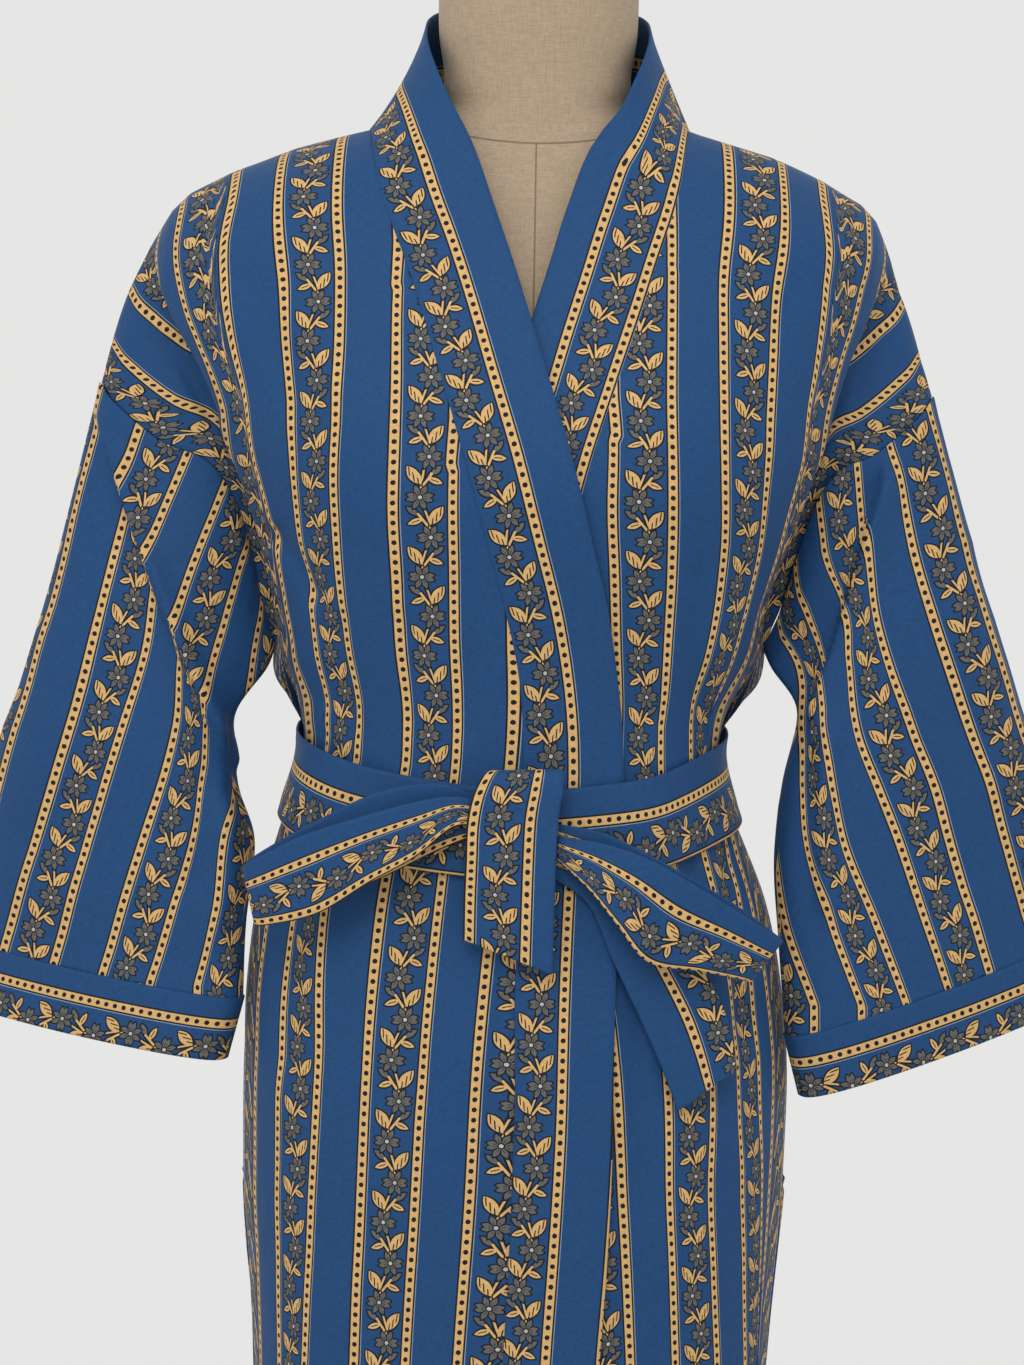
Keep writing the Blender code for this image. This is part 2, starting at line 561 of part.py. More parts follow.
def torso_rings():
    heights = np.concatenate([TORSO[:4, 0], np.linspace(775, NECK_TOP, 20)])
    turn = np.linspace(0, 2 * np.pi, TORSO_COLUMNS, endpoint=False)
    share = 2 / TORSO_POWER
    rings = []
    for z in heights:
        half, front, back = smooth(TORSO[:, 0], TORSO[:, 1:], np.full(1, z))[0]
        x = half * np.sign(np.sin(turn)) * np.abs(np.sin(turn)) ** share
        depth = np.where(np.cos(turn) > 0, front, back)
        y = -depth * np.sign(np.cos(turn)) * np.abs(np.cos(turn)) ** share
        rings.append(np.stack([x, y, np.full(TORSO_COLUMNS, z)], axis=1))
    return np.array(rings)


def round_rings(profile, columns):
    """Rings of a turned shape on the upright axis: radius and height of each."""
    turn = np.linspace(0, 2 * np.pi, columns, endpoint=False)
    return np.array([
        np.stack([r * np.sin(turn), -r * np.cos(turn), np.full(columns, z)], axis=1) for r, z in profile
    ])


def knot_rings():
    """The knot: a rounded block, its rings from top to bottom."""
    turn = np.linspace(0, 2 * np.pi, 16, endpoint=False)
    rings = []
    for height, share in ((1.0, 0.55), (0.75, 0.86), (0.25, 1.0), (-0.25, 1.0), (-0.75, 0.86), (-1.0, 0.55)):
        ring = np.stack([np.sin(turn) * KNOT_HALF[0], -np.cos(turn) * KNOT_HALF[1], np.zeros(16)], axis=1)
        rings.append(KNOT_CENTRE + ring * share + [0, 0, height * KNOT_HALF[2]])
    return np.array(rings)


for old in list(bpy.data.objects):
    bpy.data.objects.remove(old, do_unlink=True)

blue = material("blue_printed_cotton", BLUE_COTTON, 0.85)
linen = material("beige_linen_cover", BEIGE_LINEN, 0.9)
wood = material("lacquered_wood", DARK_WOOD, 0.4)
metal = material("black_painted_steel", BLACK_PAINT, 0.4)

over_grid = front_grid(OVER_STRIPES, 1, OVERLAP_LIFT)
under_grid = front_grid(UNDER_STRIPES, 2, 0.0)
whole_back = back_grid()

over = trimmed(over_grid, start=GAP / 2, end=GAP / 2, top=GAP / 2)
wall("front_right", leaned(over[:, ::-1]), CLOTH, blue, across_top=DEPTH_AXIS)
under = trimmed(under_grid, start=GAP / 2, end=GAP / 2, top=GAP / 2)
wall("front_left", leaned(under * [-1, 1, 1]), CLOTH, blue, across_top=DEPTH_AXIS)
back = trimmed(whole_back, start=GAP / 2, end=GAP / 2, top=GAP / 2)
wall("back", leaned(back[:, ::-1]), CLOTH, blue, across_top=DEPTH_AXIS)

right_band = neckband_grid(over_grid, whole_back[0], 1, OVERLAP_LIFT + BAND_LIFT)
right_band = trimmed(right_band, top=GAP / 2, start=BAND_GAP)
wall("neckband_right", right_band, BAND_CLOTH, blue, across_top=WIDTH_AXIS)
left_band = neckband_grid(under_grid, whole_back[0], 2, BAND_LIFT)
left_band = trimmed(left_band, top=GAP / 2, start=BAND_GAP)
wall("neckband_left", left_band[:, ::-1] * [-1, 1, 1], BAND_CLOTH, blue, across_top=WIDTH_AXIS)

for side, table, mirror, shift in (
    ("right", RIGHT_SLEEVE, -1, [9, 2, -35]),
    ("left", LEFT_SLEEVE, 1, [9, 2, -34]),
):
    rings = sleeve_rings(table)
    cuff = cuff_rings(rings[-1], shift)[:, ::mirror] * [mirror, 1, 1]
    sleeve = trimmed_rings(rings)[:, ::mirror] * [mirror, 1, 1]
    wall("sleeve_" + side, leaned(sleeve), CLOTH, blue, ring=True)
    wall("cuff_" + side, leaned(cuff), BAND_CLOTH, blue, ring=True)

wall("belt", leaned(belt_rings(56)), BAND_CLOTH, blue, ring=True)
stacked("belt_knot", knot_rings(), blue)
wall("bow_centre_tail", ribbon_grid(CENTRE_TAIL, 16, 4), BAND_CLOTH, blue)
wall("bow_left_loop", ribbon_grid(LEFT_LOOP, 26, 4), BAND_CLOTH, blue)
wall("bow_right_loop", ribbon_grid(RIGHT_LOOP, 26, 4), BAND_CLOTH, blue)
wall("bow_right_tail", ribbon_grid(RIGHT_TAIL, 12, 4), BAND_CLOTH, blue)

stacked("form_torso", torso_rings(), linen)
cap = [(CAP_RADIUS - 2, NECK_TOP + GAP), (CAP_RADIUS, NECK_TOP + 3), (CAP_RADIUS, CAP_TOP - 4),
       (CAP_RADIUS - 6, CAP_TOP)]
stacked("form_neck_cap", round_rings(cap, 28), wood)
pole = [(POLE_RADIUS, BASE_HEIGHT + GAP), (POLE_RADIUS, TORSO[0, 0] - GAP)]
stacked("stand_pole", round_rings(pole, 24), metal)
base = [(BASE_RADIUS - 4, 0), (BASE_RADIUS, 4), (BASE_RADIUS, 14), (BASE_RADIUS - 10, BASE_HEIGHT)]
stacked("stand_base", round_rings(base, 40), metal)
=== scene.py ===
"""Looks of a printed cotton kimono robe on a limbless dress form, in millimetres until the meshes are made."""

import math

import bmesh
import bpy
import numpy as np
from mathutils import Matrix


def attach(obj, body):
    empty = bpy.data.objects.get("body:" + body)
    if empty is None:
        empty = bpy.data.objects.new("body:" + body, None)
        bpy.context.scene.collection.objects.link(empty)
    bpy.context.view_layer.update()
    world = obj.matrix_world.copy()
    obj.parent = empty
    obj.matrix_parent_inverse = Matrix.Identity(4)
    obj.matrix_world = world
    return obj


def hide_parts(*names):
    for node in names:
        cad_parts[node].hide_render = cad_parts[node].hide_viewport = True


MM = 0.001
# Gap where pieces touch, thickness of the cloth and of the doubled bands, and rise of the front that lies over
GAP = 0.3
CLOTH = 1.2
BAND_CLOTH = 1.5
OVERLAP_LIFT = 5.0
# Exponent of the body's rounded sections
SECTION_POWER = 2.4
DEPTH_AXIS = np.array([0.0, 1.0, 0.0])
WIDTH_AXIS = np.array([1.0, 0.0, 0.0])
MIRROR = np.array([-1, 1, 1])

# Shoulder line of the cloth: distance from the centre, height.
SHOULDER = np.array([
    [0, 1424], [95, 1390], [138, 1378], [173, 1365], [201, 1351], [212, 1341],
    [222, 1325], [231, 1307], [237, 1293], [247, 1259], [252, 1240],
])
SHOULDER_ROUNDING = 62

# How far the worn robe leans to the wearer's right: height, shift of its right side, shift of its left side.
LEAN = np.array([
    [200, 2, 3], [700, 2, 4], [800, 1, 5], [860, 1, 5], [940, 4, 8], [1000, 8, 10], [1035, 8, 9], [1060, 5, 8],
    [1085, 4, 6], [1110, 4, 5], [1155, 3, 6], [1180, 2, 10], [1205, 1, 14], [1228, 0, 17], [1260, 0, 20],
    [1300, 0, 20], [1320, 1, 16], [1343, 1, 13], [1366, 3, 12], [1385, 2, 6], [1400, 0, 0],
])
# Distance from the centre where that shift starts and where it is whole: height, start, whole.
LEAN_REACH = np.array([[200, 60, 130], [1050, 60, 125], [1120, 110, 165], [1200, 120, 230], [1400, 120, 235]])

# Cloth round the body: height, half width, front depth, back depth, depth of the back folds.
BODY = np.array([
    [1400, 230, 74, 86, 0], [1350, 229, 82, 98, 0], [1314, 227, 93, 106, 0], [1283, 217, 105, 110, 0],
    [1240, 196, 120, 112, 0], [1213, 184, 128, 112, 0], [1178, 166, 131, 111, 0], [1150, 157, 126, 109, 1],
    [1093, 144, 112, 104, 3], [1063, 129, 107, 101, 3], [1033, 122, 105, 100, 2], [1000, 130, 107, 104, 3],
    [942, 150, 113, 124, 8], [855, 160, 118, 138, 11], [788, 159, 117, 141, 13], [695, 151, 113, 140, 14],
    [500, 149, 111, 138, 16], [200, 151, 112, 140, 18],
])

# Stripes of the right front: height, then the distance from the centre of each stripe from the inner one out.
OVER_STRIPES = np.array([
    [1400, 12, 43, 76, 110, 143], [1345, 12, 43, 76, 109, 142], [1314, 12, 43, 74, 106, 138],
    [1283, 11, 43, 74, 105, 137], [1240, 10, 41, 73, 106, 134], [1210, 10, 41, 73, 107, 132],
    [1175, 10, 41, 73, 106, 129], [1140, 9, 40, 71, 104, 124], [1100, 8, 39, 69, 100, 118],
    [1063, 7, 37, 65, 92, 109], [1033, 8, 37, 64, 90, 107], [1000, 11, 40, 68, 95, 113],
    [942, 17, 46, 76, 106, 126], [866, 23, 52, 82, 109, 133], [788, 26, 55, 84, 111, 132],
    [695, 31, 59, 86, 113, 129], [200, 36, 62, 88, 113, 129],
])
# Stripes of the left front, the same way.
UNDER_STRIPES = np.array([
    [1400, 12, 43, 76, 110, 143], [1345, 12, 43, 76, 109, 142], [1314, 12, 43, 77, 106, 138],
    [1283, 11, 43, 77, 106, 137], [1240, 12, 44, 77, 107, 135], [1210, 13, 45, 78, 108, 133],
    [1175, 14, 45, 79, 109, 131], [1140, 16, 47, 79, 107, 126], [1100, 20, 49, 78, 103, 121],
    [1063, 22, 51, 77, 99, 114], [1033, 22, 51, 77, 99, 112], [1000, 24, 52, 80, 104, 121],
    [942, 40, 68, 96, 119, 135], [866, 52, 82, 111, 128, 140], [788, 58, 86, 112, 131, 143],
    [695, 64, 91, 117, 134, 142], [200, 66, 93, 118, 134, 142],
])
STRIPE_CLOTH = np.array([94.5, 63, 31.5, 0, -31.5])

# Angle round the section, from the front centre: height, third stripe out, fourth, chest fold, side seam.
SIDE_ANGLES = np.array([
    [1400, 45.9, 61.6, 73.4, 90], [1345, 45.5, 61.6, 73.4, 90], [1314, 44.6, 61.0, 74.4, 90],
    [1283, 47.3, 63.6, 73.0, 90], [1256, 50.7, 64.9, 73.5, 90], [1240, 52.6, 63.7, 73.2, 90],
    [1213, 55.1, 61.4, 73.9, 90], [1178, 61.4, 66.0, 74.6, 88], [1150, 63.4, 68.7, 74.1, 87],
    [1093, 64.3, 70.4, 75.2, 90], [1063, 68.0, 81.0, 90.0, 104], [1033, 73.0, 88.0, 98.0, 111],
    [942, 67.0, 81.0, 89.0, 102], [855, 66.5, 79.5, 86.5, 99], [788, 66.0, 79.5, 86.5, 99],
    [695, 69.0, 83.0, 90.0, 103], [200, 69.0, 83.0, 90.0, 103],
])
SIDE_CLOTH = np.array([-63, -94.5, -112])

# Seam of the neckband on each front: height, right front x, left front x.
BAND_SEAM = np.array([
    [1390, 95, 88], [1344, 84, 79], [1312, 71, 69], [1283, 61, 60], [1240, 48, 46], [1192, 33, 31],
    [1162, 25, 24], [1115, 12, 19], [1068, 3, 16], [1032, 1, 15], [985, 2, 20], [903, 3, 30],
    [842, 2, 34], [791, 3, 36], [699, 6, 41], [200, 10, 43],
])

# Free edge of the neckband on each front: height, right front x, left front x, towards the other side.
BAND_EDGE = np.array([
    [1382, -39, -35], [1342, -24, -19], [1308, -12, -9], [1274, -1, 1], [1236, 11, 11], [1210, 19, 19],
    [1181, 27, 26], [1149, 35, 32], [1122, 42, 35], [1082, 49, 39], [1049, 53, 40], [990, 54, 37],
    [935, 52, 27], [873, 51, 23], [812, 51, 20], [751, 49, 17], [700, 46, 15], [200, 43, 13],
])

# Free edge of the neckband round the neck, from the back centre to the front.
BAND_NECK_EDGE = np.array([
    [0, 67, 1468], [20, 65, 1468], [41, 56, 1467], [56, 39, 1465], [64, 18, 1459],
    [66, -4, 1450], [64, -27, 1437], [57, -46, 1418], [48, -58, 1399],
])

# Dropped shoulder outside the chest fold. Each row is a distance down the cloth, then a point for each of the
# chest fold, the fold's inner turn, two stripes and the armhole seam.
DROP = np.array([
    [0, 220, -1, 1327, 227, -1, 1314, 237, -1, 1293, 247, -1, 1260, 252, -1, 1240],
    [10, 220, -16, 1316, 222, -11, 1305, 232, -10, 1285, 241, -10, 1254, 246, -10, 1232],
    [28, 217, -31, 1300, 214, -19, 1292, 221, -16, 1275, 230, -16, 1246, 235, -16, 1222],
    [60, 206, -43, 1275, 199, -26, 1269, 203, -22, 1254, 208, -23, 1230, 213, -22, 1206],
    [100, 190, -50, 1245, 180, -29, 1241, 183, -24, 1230, 184, -25, 1213, 186, -25, 1195],
    [140, 175, -52, 1208, 165, -30, 1205, 167, -24, 1197, 168, -22, 1186, 170, -21, 1173],
    [180, 160, -50, 1172, 152, -29, 1169, 154, -21, 1161, 156, -16, 1151, 159, -12, 1141],
    [215, 149, -41, 1135, 144, -25, 1133, 146, -17, 1128, 149, -11, 1123, 153, -6, 1116],
    [250, 140, -30, 1099, 140, -20, 1098, 141, -13, 1096, 142, -7, 1095, 144, -1, 1092],
])
ARMHOLE = 250
# Below the armhole the dropped shoulder's shape fades into the side seam over this length.
FADE = 80
PULL_FADE = 90

# Sleeve edges as hung: share of the length, then outer and inner edge point, then half the thickness.
RIGHT_SLEEVE = np.array([
    [0.00, 252, 0, 1240, 143, 0, 1094, 13], [0.12, 259, 3, 1204, 147, -8, 1078, 18],
    [0.25, 268, 8, 1160, 162, -16, 1054, 24], [0.45, 283, 18, 1092, 162, -26, 1008, 29],
    [0.65, 301, 28, 1026, 152, -34, 975, 29], [0.82, 315, 36, 969, 158, -41, 932, 27],
    [1.00, 329, 42, 910, 160, -46, 889, 24],
])
LEFT_SLEEVE = np.array([
    [0.00, 252, 0, 1240, 143, 0, 1094, 13], [0.12, 258, 3, 1202, 149, -8, 1082, 18],
    [0.25, 265, 8, 1156, 165, -16, 1060, 24], [0.45, 283, 18, 1094, 161, -26, 1012, 29],
    [0.65, 306, 28, 1036, 156, -34, 967, 29], [0.82, 324, 36, 984, 157, -42, 929, 27],
    [1.00, 346, 42, 929, 159, -48, 873, 24],
])
# Share of the sleeve's length over which it leaves the armhole's shape
SEAM_FADE = 0.55

# Belt: angle round the body from the front centre, height of its middle. Then its width and its distance off
# the cloth.
BELT = np.array([[0, 991], [30, 999], [60, 1010], [90, 1017], [130, 1020], [180, 1020]])
BELT_WIDTH = 48
BELT_CLEAR = 4.1

# Neckband's height over the front, and its rise at the neck's back as a share of its width
BAND_LIFT = 0.5
BAND_NECK_RISE = 0.012
# Neckline of the back: height in the middle, sag and share of the half width. Then the number of the back's folds,
# and how far the bow stands forward.
BACK_NECK_HEIGHT = 1394
BACK_NECK_SAG = 6
BACK_NECK_SHARE = 0.42
BACK_FOLDS = 3.5
BOW_FORWARD = 1.5
CUFF_LIFT = 0.8
BELT_BACK_LIFT = 4.0
KNOT_CENTRE = np.array([0.0, -125.15, 993.0])
KNOT_HALF = np.array([19.0, 7.25, 17.0])

# Bow: each row gives a point of the strip's one edge and of its other edge.
CENTRE_TAIL = np.array([
    [-14, -113, 1020, 15, -113, 1020], [-17, -120, 1027, 18, -120, 1028], [-22, -130, 1026, 20, -130, 1028],
    [-28, -133, 1014, 20, -133, 1018], [-31, -133, 998, 18, -133, 1003], [-31.5, -133, 978, 17, -133, 980],
    [-32, -132.5, 958, 16.5, -132.5, 948], [-32, -132, 936, 16, -132, 918],
])
LEFT_LOOP = np.array([
    [-19, -122, 1008, -19, -122, 995], [-45, -125, 1019, -45, -124, 985], [-80, -124, 1014, -82, -122, 966],
    [-120, -117, 994, -118, -115, 950], [-146, -108, 978, -140, -107, 944],
    [-154, -112, 971, -147, -112, 941],
    [-147, -120, 976, -140, -120, 941], [-121, -128, 990, -112, -128, 949], [-90, -133, 1001, -84, -133, 967],
    [-60, -134, 1010, -60, -134, 981], [-38, -130.5, 1013, -38, -130.5, 998],
    [-19, -125.5, 1009, -19, -125.5, 995],
])
RIGHT_LOOP = np.array([
    [19, -125.5, 992, 19, -125.5, 980], [42, -131.5, 989, 37, -131.5, 964], [66, -136, 982, 52, -135, 946],
    [92, -133, 968, 69, -133, 926], [118, -126, 952, 96, -127, 921], [137, -118, 939, 119, -119, 916],
    [141, -112, 937, 124, -112, 914], [116, -114, 955, 97, -115, 925], [80, -121, 976, 66, -121, 942],
    [45, -123, 993, 42, -123, 968], [19, -122, 998, 19, -122, 986],
])
RIGHT_TAIL = np.array([
    [12, -120.5, 972, 16.7, -120.7, 984], [36, -119, 955, 53, -118.5, 970], [50, -119, 925, 84, -115, 942],
    [67, -115, 890, 107, -107, 906], [78, -113, 866, 116, -104, 882], [88, -111, 841, 120, -102, 862],
])

# Dress form: height, half width, front depth, back depth.
TORSO = np.array([
    [742, 60, 40, 44], [744, 106, 72, 80], [750, 128, 86, 96], [762, 138, 94, 105], [800, 146, 100, 112],
    [870, 149, 105, 117], [930, 140, 102, 107], [985, 118, 96, 92], [1035, 104, 90, 82],
    [1080, 115, 96, 82], [1130, 137, 110, 90], [1185, 152, 120, 97], [1230, 163, 109, 98],
    [1280, 174, 93, 97], [1320, 178, 79, 92], [1340, 179, 74, 90], [1352, 174, 70, 86],
    [1362, 157, 65, 80], [1372, 134, 61, 73], [1382, 101, 56, 63], [1395, 61, 54, 55],
    [1415, 55, 53, 53], [1448, 58, 55, 55], [1500, 58, 55, 55],
])
TORSO_POWER = 2.3
NECK_TOP = 1500

# Finer sampling than the solids have: places down the cloth, then points along and across the pieces
FINE_ROWS = np.concatenate([np.linspace(0, 250, 72), np.linspace(254, 1151, 222)])
FINE_CHEST = 64
FINE_OUTER = 28
FINE_BACK = 50
FINE_SLEEVE_ROWS = 140
FINE_SLEEVE_COLUMNS = 240
FINE_CUFF_ROWS = 18
FINE_BAND_ROWS = 420
FINE_BAND_COLUMNS = 20
FINE_BELT_ROWS = 22
FINE_BELT_COLUMNS = 420
FINE_BOW_ROWS = 150
FINE_BOW_COLUMNS = 26


def smooth(knots, values, at):
    """Cubic through the knots, flat past both ends. Values may hold a row per knot."""
    knots = np.asarray(knots, float)
    values = np.asarray(values, float)
    if knots[0] > knots[-1]:
        knots, values = knots[::-1], values[::-1]
    slopes = np.gradient(values, knots, axis=0)
    at = np.clip(np.asarray(at, float), knots[0], knots[-1])
    i = np.clip(np.searchsorted(knots, at, side="right") - 1, 0, len(knots) - 2)
    step = knots[i + 1] - knots[i]
    t = (at - knots[i]) / step
    if values.ndim > 1:
        step, t = step[..., None], t[..., None]
    rise = values[i + 1] - values[i]
    start, end = slopes[i] * step, slopes[i + 1] * step
    return values[i] + t * (start + t * (3 * rise - 2 * start - end + t * (start + end - 2 * rise)))


def ease(t):
    t = np.clip(t, 0, 1)
    return t * t * (3 - 2 * t)


def body(column, z):
    return smooth(BODY[:, 0], BODY[:, column], z)


def shoulder(x):
    return np.interp(np.abs(x), SHOULDER[:, 0], SHOULDER[:, 1])


def section_point(angle, z, lift=0.0, back_fold=0.0):
    """Point of the cloth section at this height, turned by angle from the front centre."""
    share = 2 / SECTION_POWER
    sine, cosine = np.sin(angle), np.cos(angle)
    depth = np.where(cosine > 0, body(2, z), body(3, z) + back_fold)
    x = (body(1, z) + lift) * np.sign(sine) * np.abs(sine) ** share
    y = -(depth + lift) * np.sign(cosine) * np.abs(cosine) ** share
    drop = np.clip((shoulder(x) - z) / SHOULDER_ROUNDING, 0, 1)
    y = y * np.sqrt(1 - (1 - drop) ** 2)
    return np.stack(np.broadcast_arrays(x, y, z), axis=-1)


def angle_of(x, z):
    return np.arcsin(np.clip(np.abs(x) / body(1, z), 0, 1) ** (SECTION_POWER / 2))


def row_height(x, v):
    """Height of the cloth v below the shoulder line: level from the waist down, along the shoulder above."""
    slope = 1 - ease((v - 120) / 220)
    return 1351 - v + (shoulder(x) - 1351) * slope


def leaned(grid):
    """The grid moved to the wearer's right by the lean at each height."""
    x, z = grid[..., 0], grid[..., 2]
    right, left = (np.interp(z, LEAN[:, 0], LEAN[:, column]) for column in (1, 2))
    start, whole = (np.interp(z, LEAN_REACH[:, 0], LEAN_REACH[:, column]) for column in (1, 2))
    shift = np.where(x < 0, right, left) * ease((np.abs(x) - start) / (whole - start))
    return grid - shift[..., None] * WIDTH_AXIS


def row_at(table, place):
    """The table's row at one height or share, without its first column."""
    return smooth(table[:, 0], table[:, 1:], np.full(1, place))[0]


def drop_row(v):
    """Points of the dropped shoulder this far down the armhole, on the positive x side."""
    return row_at(DROP, min(v, ARMHOLE)).reshape(5, 3)


def neck_back_height(share):
    """Height of the back's top edge: the neckline in the middle, then the shoulder line."""
    neckline = BACK_NECK_HEIGHT - BACK_NECK_SAG * share / BACK_NECK_SHARE
    return np.where(share < BACK_NECK_SHARE, neckline, np.inf)


def sleeve_ring(table, share, turn):
    """Section of the hanging sleeve at this share of its length, from the outer edge round the front."""
    row = row_at(table, share)
    outer, inner, thick = row[:3], row[3:6], row[6]
    half = (outer - inner) / 2
    flat = np.array([half[1], -half[0], 0.0]) / np.hypot(half[0], half[1])
    sine = np.sin(turn)
    swell = np.sign(sine) * np.abs(sine) ** 0.8
    return (outer + inner) / 2 + np.outer(np.cos(turn), half) + np.outer(swell * thick, flat)


def front_depth(x, z, lift):
    """Depth of the front's surface at a place."""
    share = np.clip(np.abs(x) / body(1, z), 0, 1) ** SECTION_POWER
    drop = np.clip((shoulder(x) - z) / SHOULDER_ROUNDING, 0, 1)
    return -(body(2, z) + lift) * (1 - share) ** (1 / SECTION_POWER) * np.sqrt(1 - (1 - drop) ** 2)


def lengths_along(path):
    """Distance along the path, or along each of several side by side, to each of its points."""
    steps = np.linalg.norm(np.diff(path, axis=0), axis=-1)
    return np.concatenate([np.zeros((1,) + steps.shape[1:]), np.cumsum(steps, axis=0)])


def resampled(path, samples):
    """Evenly spaced points on a smooth curve through the path."""
    knots = lengths_along(path)
    return smooth(knots, path, np.linspace(0, knots[-1], samples))


def closed(line):
    """The line with its first point again at its end."""
    return np.concatenate([line, line[:1]])


# Stripes on each sleeve's front in the photo's pixels: row, then each stripe from the viewer's left.
# The right sleeve has one set below its long diagonal crease and one above it.
RIGHT_SLEEVE_BELOW = np.array([
    [420, 97, 149, 195, 238, 270, 300, 325], [505, 74, 126, 173, 220, 250, 285, 312],
    [583, 53, 108, 154, 200, 232, 270, 300], [651, 35, 91, 146, 181, 215, 257, 289],
    [724, 15, 72, 123, 177, 206, 246, 277], [769, 3, 59, 109, 167, 203, 238, 270],
    [830, -14, 40, 90, 147, 195, 224, 262], [907, -36, 17, 70, 123, 174, 217, 248],
    [985, -58, -5, 49, 100, 150, 198, 240],
])
RIGHT_SLEEVE_ABOVE = np.array([
    [400, 90, 149, 210, 254, 290, 322, 350], [485, 62, 120, 175, 224, 262, 296, 326],
    [564, 36, 93, 142, 193, 241, 274, 304], [640, 10, 67, 112, 166, 219, 256, 288],
    [704, -10, 45, 90, 143, 198, 247, 280], [760, -28, 26, 72, 124, 180, 232, 268],
])
RIGHT_SLEEVE_CLOTH = np.array([-63, -31.5, 0, 31.5, 63, 94.5, 126])
RIGHT_SLEEVE_CREASE = [(98, 415), (121, 488), (147, 567), (175, 637), (203, 706), (232, 765), (252, 815)]
LEFT_SLEEVE_STRIPES = np.array([
    [400, 700, 735, 775, 815, 853, 878, 928], [475, 705, 740, 780, 818, 858, 896, 949],
    [562, 712, 748, 786, 827, 867, 915, 972], [611, 728, 767, 806, 847, 873, 930, 985],
    [663, 752, 798, 823, 849, 887, 946, 1001], [733, 765, 803, 827, 856, 914, 970, 1023],
    [788, 770, 804, 831, 877, 936, 989, 1040], [834, 775, 806, 840, 896, 949, 1002, 1054],
    [920, 786, 830, 874, 925, 973, 1027, 1081], [1005, 814, 861, 906, 953, 998, 1052, 1107],
])
LEFT_SLEEVE_CLOTH = np.array([-189, -157.5, -126, -94.5, -63, -31.5, 0])
LEFT_SLEEVE_FOLD = [(897, 330), (888, 410), (878, 489), (860, 548), (837, 635), (816, 704), (814, 790)]
# Where one side of a fold lies over the other: the line, how far its left side stands up and the reach of that,
# then how far its right side sinks and the reach of that
SLEEVE_OVERLAPS = {
    "right": (RIGHT_SLEEVE_CREASE, 3.0, 26, 6.0, 16),
    "left": (LEFT_SLEEVE_FOLD, 3.0, 40, 7.0, 20),
}

# Least print width for each length of cloth, where a sleeve turns away from the front
EDGE_SHARE = 0.8

# Main creases, in the photo's pixels: depth in millimetres, reach to the left and to the right, and the line.
SLEEVE_CREASES = {
    "right": [
        (-12.0, 12, 22, [(228, 470), (246, 520), (268, 575), (286, 640)]),
        (-4.0, 12, 14, [(222, 720), (228, 790), (226, 880), (214, 960)]),
        (2.5, 14, 14, [(196, 760), (200, 830), (190, 910)]),
        (-2.5, 22, 26, [(60, 600), (40, 720), (12, 850)]),
        (2.0, 20, 26, [(120, 640), (95, 760), (60, 900)]),
    ],
    "left": [
        (-5.0, 10, 12, [(838, 700), (826, 770), (822, 850), (830, 940)]),
        (-2.5, 22, 26, [(950, 560), (975, 680), (1010, 820)]),
        (2.0, 20, 24, [(905, 700), (935, 820), (965, 930)]),
    ],
}
BODY_CREASES = [
    (-4.0, 6, 12, [(262, 520), (290, 560), (322, 612)]), (1.5, 12, 12, [(300, 640), (312, 700), (322, 740)]),
    (-2.2, 10, 16, [(330, 600), (345, 680), (352, 745)]), (-2.0, 10, 14, [(400, 600), (408, 690), (412, 745)]),
    (-1.8, 10, 14, [(470, 640), (468, 700), (462, 745)]),
    (-2.0, 14, 22, [(236, 250), (262, 330), (300, 430)]),
    (1.4, 18, 18, [(262, 230), (300, 320), (345, 420)]),
    (-3.5, 8, 14, [(842, 440), (812, 520), (778, 590), (752, 650)]),
    (-2.2, 10, 14, [(700, 540), (694, 660), (700, 740)]), (-1.8, 10, 12, [(640, 620), (645, 700), (650, 740)]),
    (-2.0, 12, 20, [(800, 260), (770, 360), (745, 450)]), (-3.0, 12, 16, [(300, 850), (288, 960), (285, 1100)]),
    (-2.5, 12, 16, [(352, 845), (340, 940), (338, 1080)]),
    (-2.4, 14, 18, [(430, 840), (415, 960), (418, 1130)]),
    (-2.0, 12, 16, [(500, 960), (497, 1060), (500, 1200)]),
    (-3.5, 8, 10, [(672, 822), (690, 860), (700, 915), (705, 1000)]),
    (-3.5, 8, 10, [(712, 822), (728, 860), (742, 930), (748, 1060)]),
    (-2.5, 12, 14, [(630, 960), (640, 1080), (645, 1230)]),
    (-2.2, 12, 14, [(735, 880), (745, 1000), (748, 1180)]), (-3.0, 6, 12, [(150, 325), (186, 372), (218, 432)]),
    (-2.5, 8, 10, [(875, 350), (855, 430), (826, 500)]),
]

# Steps of cloth place towards the side seam, below the arm.
SIDE_SEAM_STEPS = np.array([-5.5, -11.0, -16.5, -22.0])

# Cloth place at the chest fold's edge by distance from the shoulder: under the arm more cloth lies in the fold.
FOLD_CLOTH = np.array([
    [0, -133], [80, -112], [130, -100], [165, -90], [240, -81], [300, -74], [345, -74], [400, -112],
    [1200, -112],
])
# Place of the stripe before that edge, as a share of the cloth up to it.
SECOND_SHARE = 0.643

# Height where the print's rows are level, and cloth place at the dropped shoulder's armhole seam.
LEVEL_ROW = 1000
DROP_SEAM_CLOTH = -214.0

# Camera: distance and height in millimetres, turn in degrees. Then the photo's view of the form: millimetres
# in a pixel at the form's depth, the photo's centre in pixels, the height seen there, the form's place beside it
CAMERA_DISTANCE = 2000
CAMERA_HEIGHT = 1188
CAMERA_ROLL = 1.0
PIXEL_SIZE = 0.585
PHOTO_CENTRE = (512, 682)
CENTRE_HEIGHT = 1068.5
FORM_ASIDE = 15

# How far a shell's rim bulges, as a share of its thickness, and the neckband's width of print
RIM_REACH = 0.45
BAND_WIDTH = 56


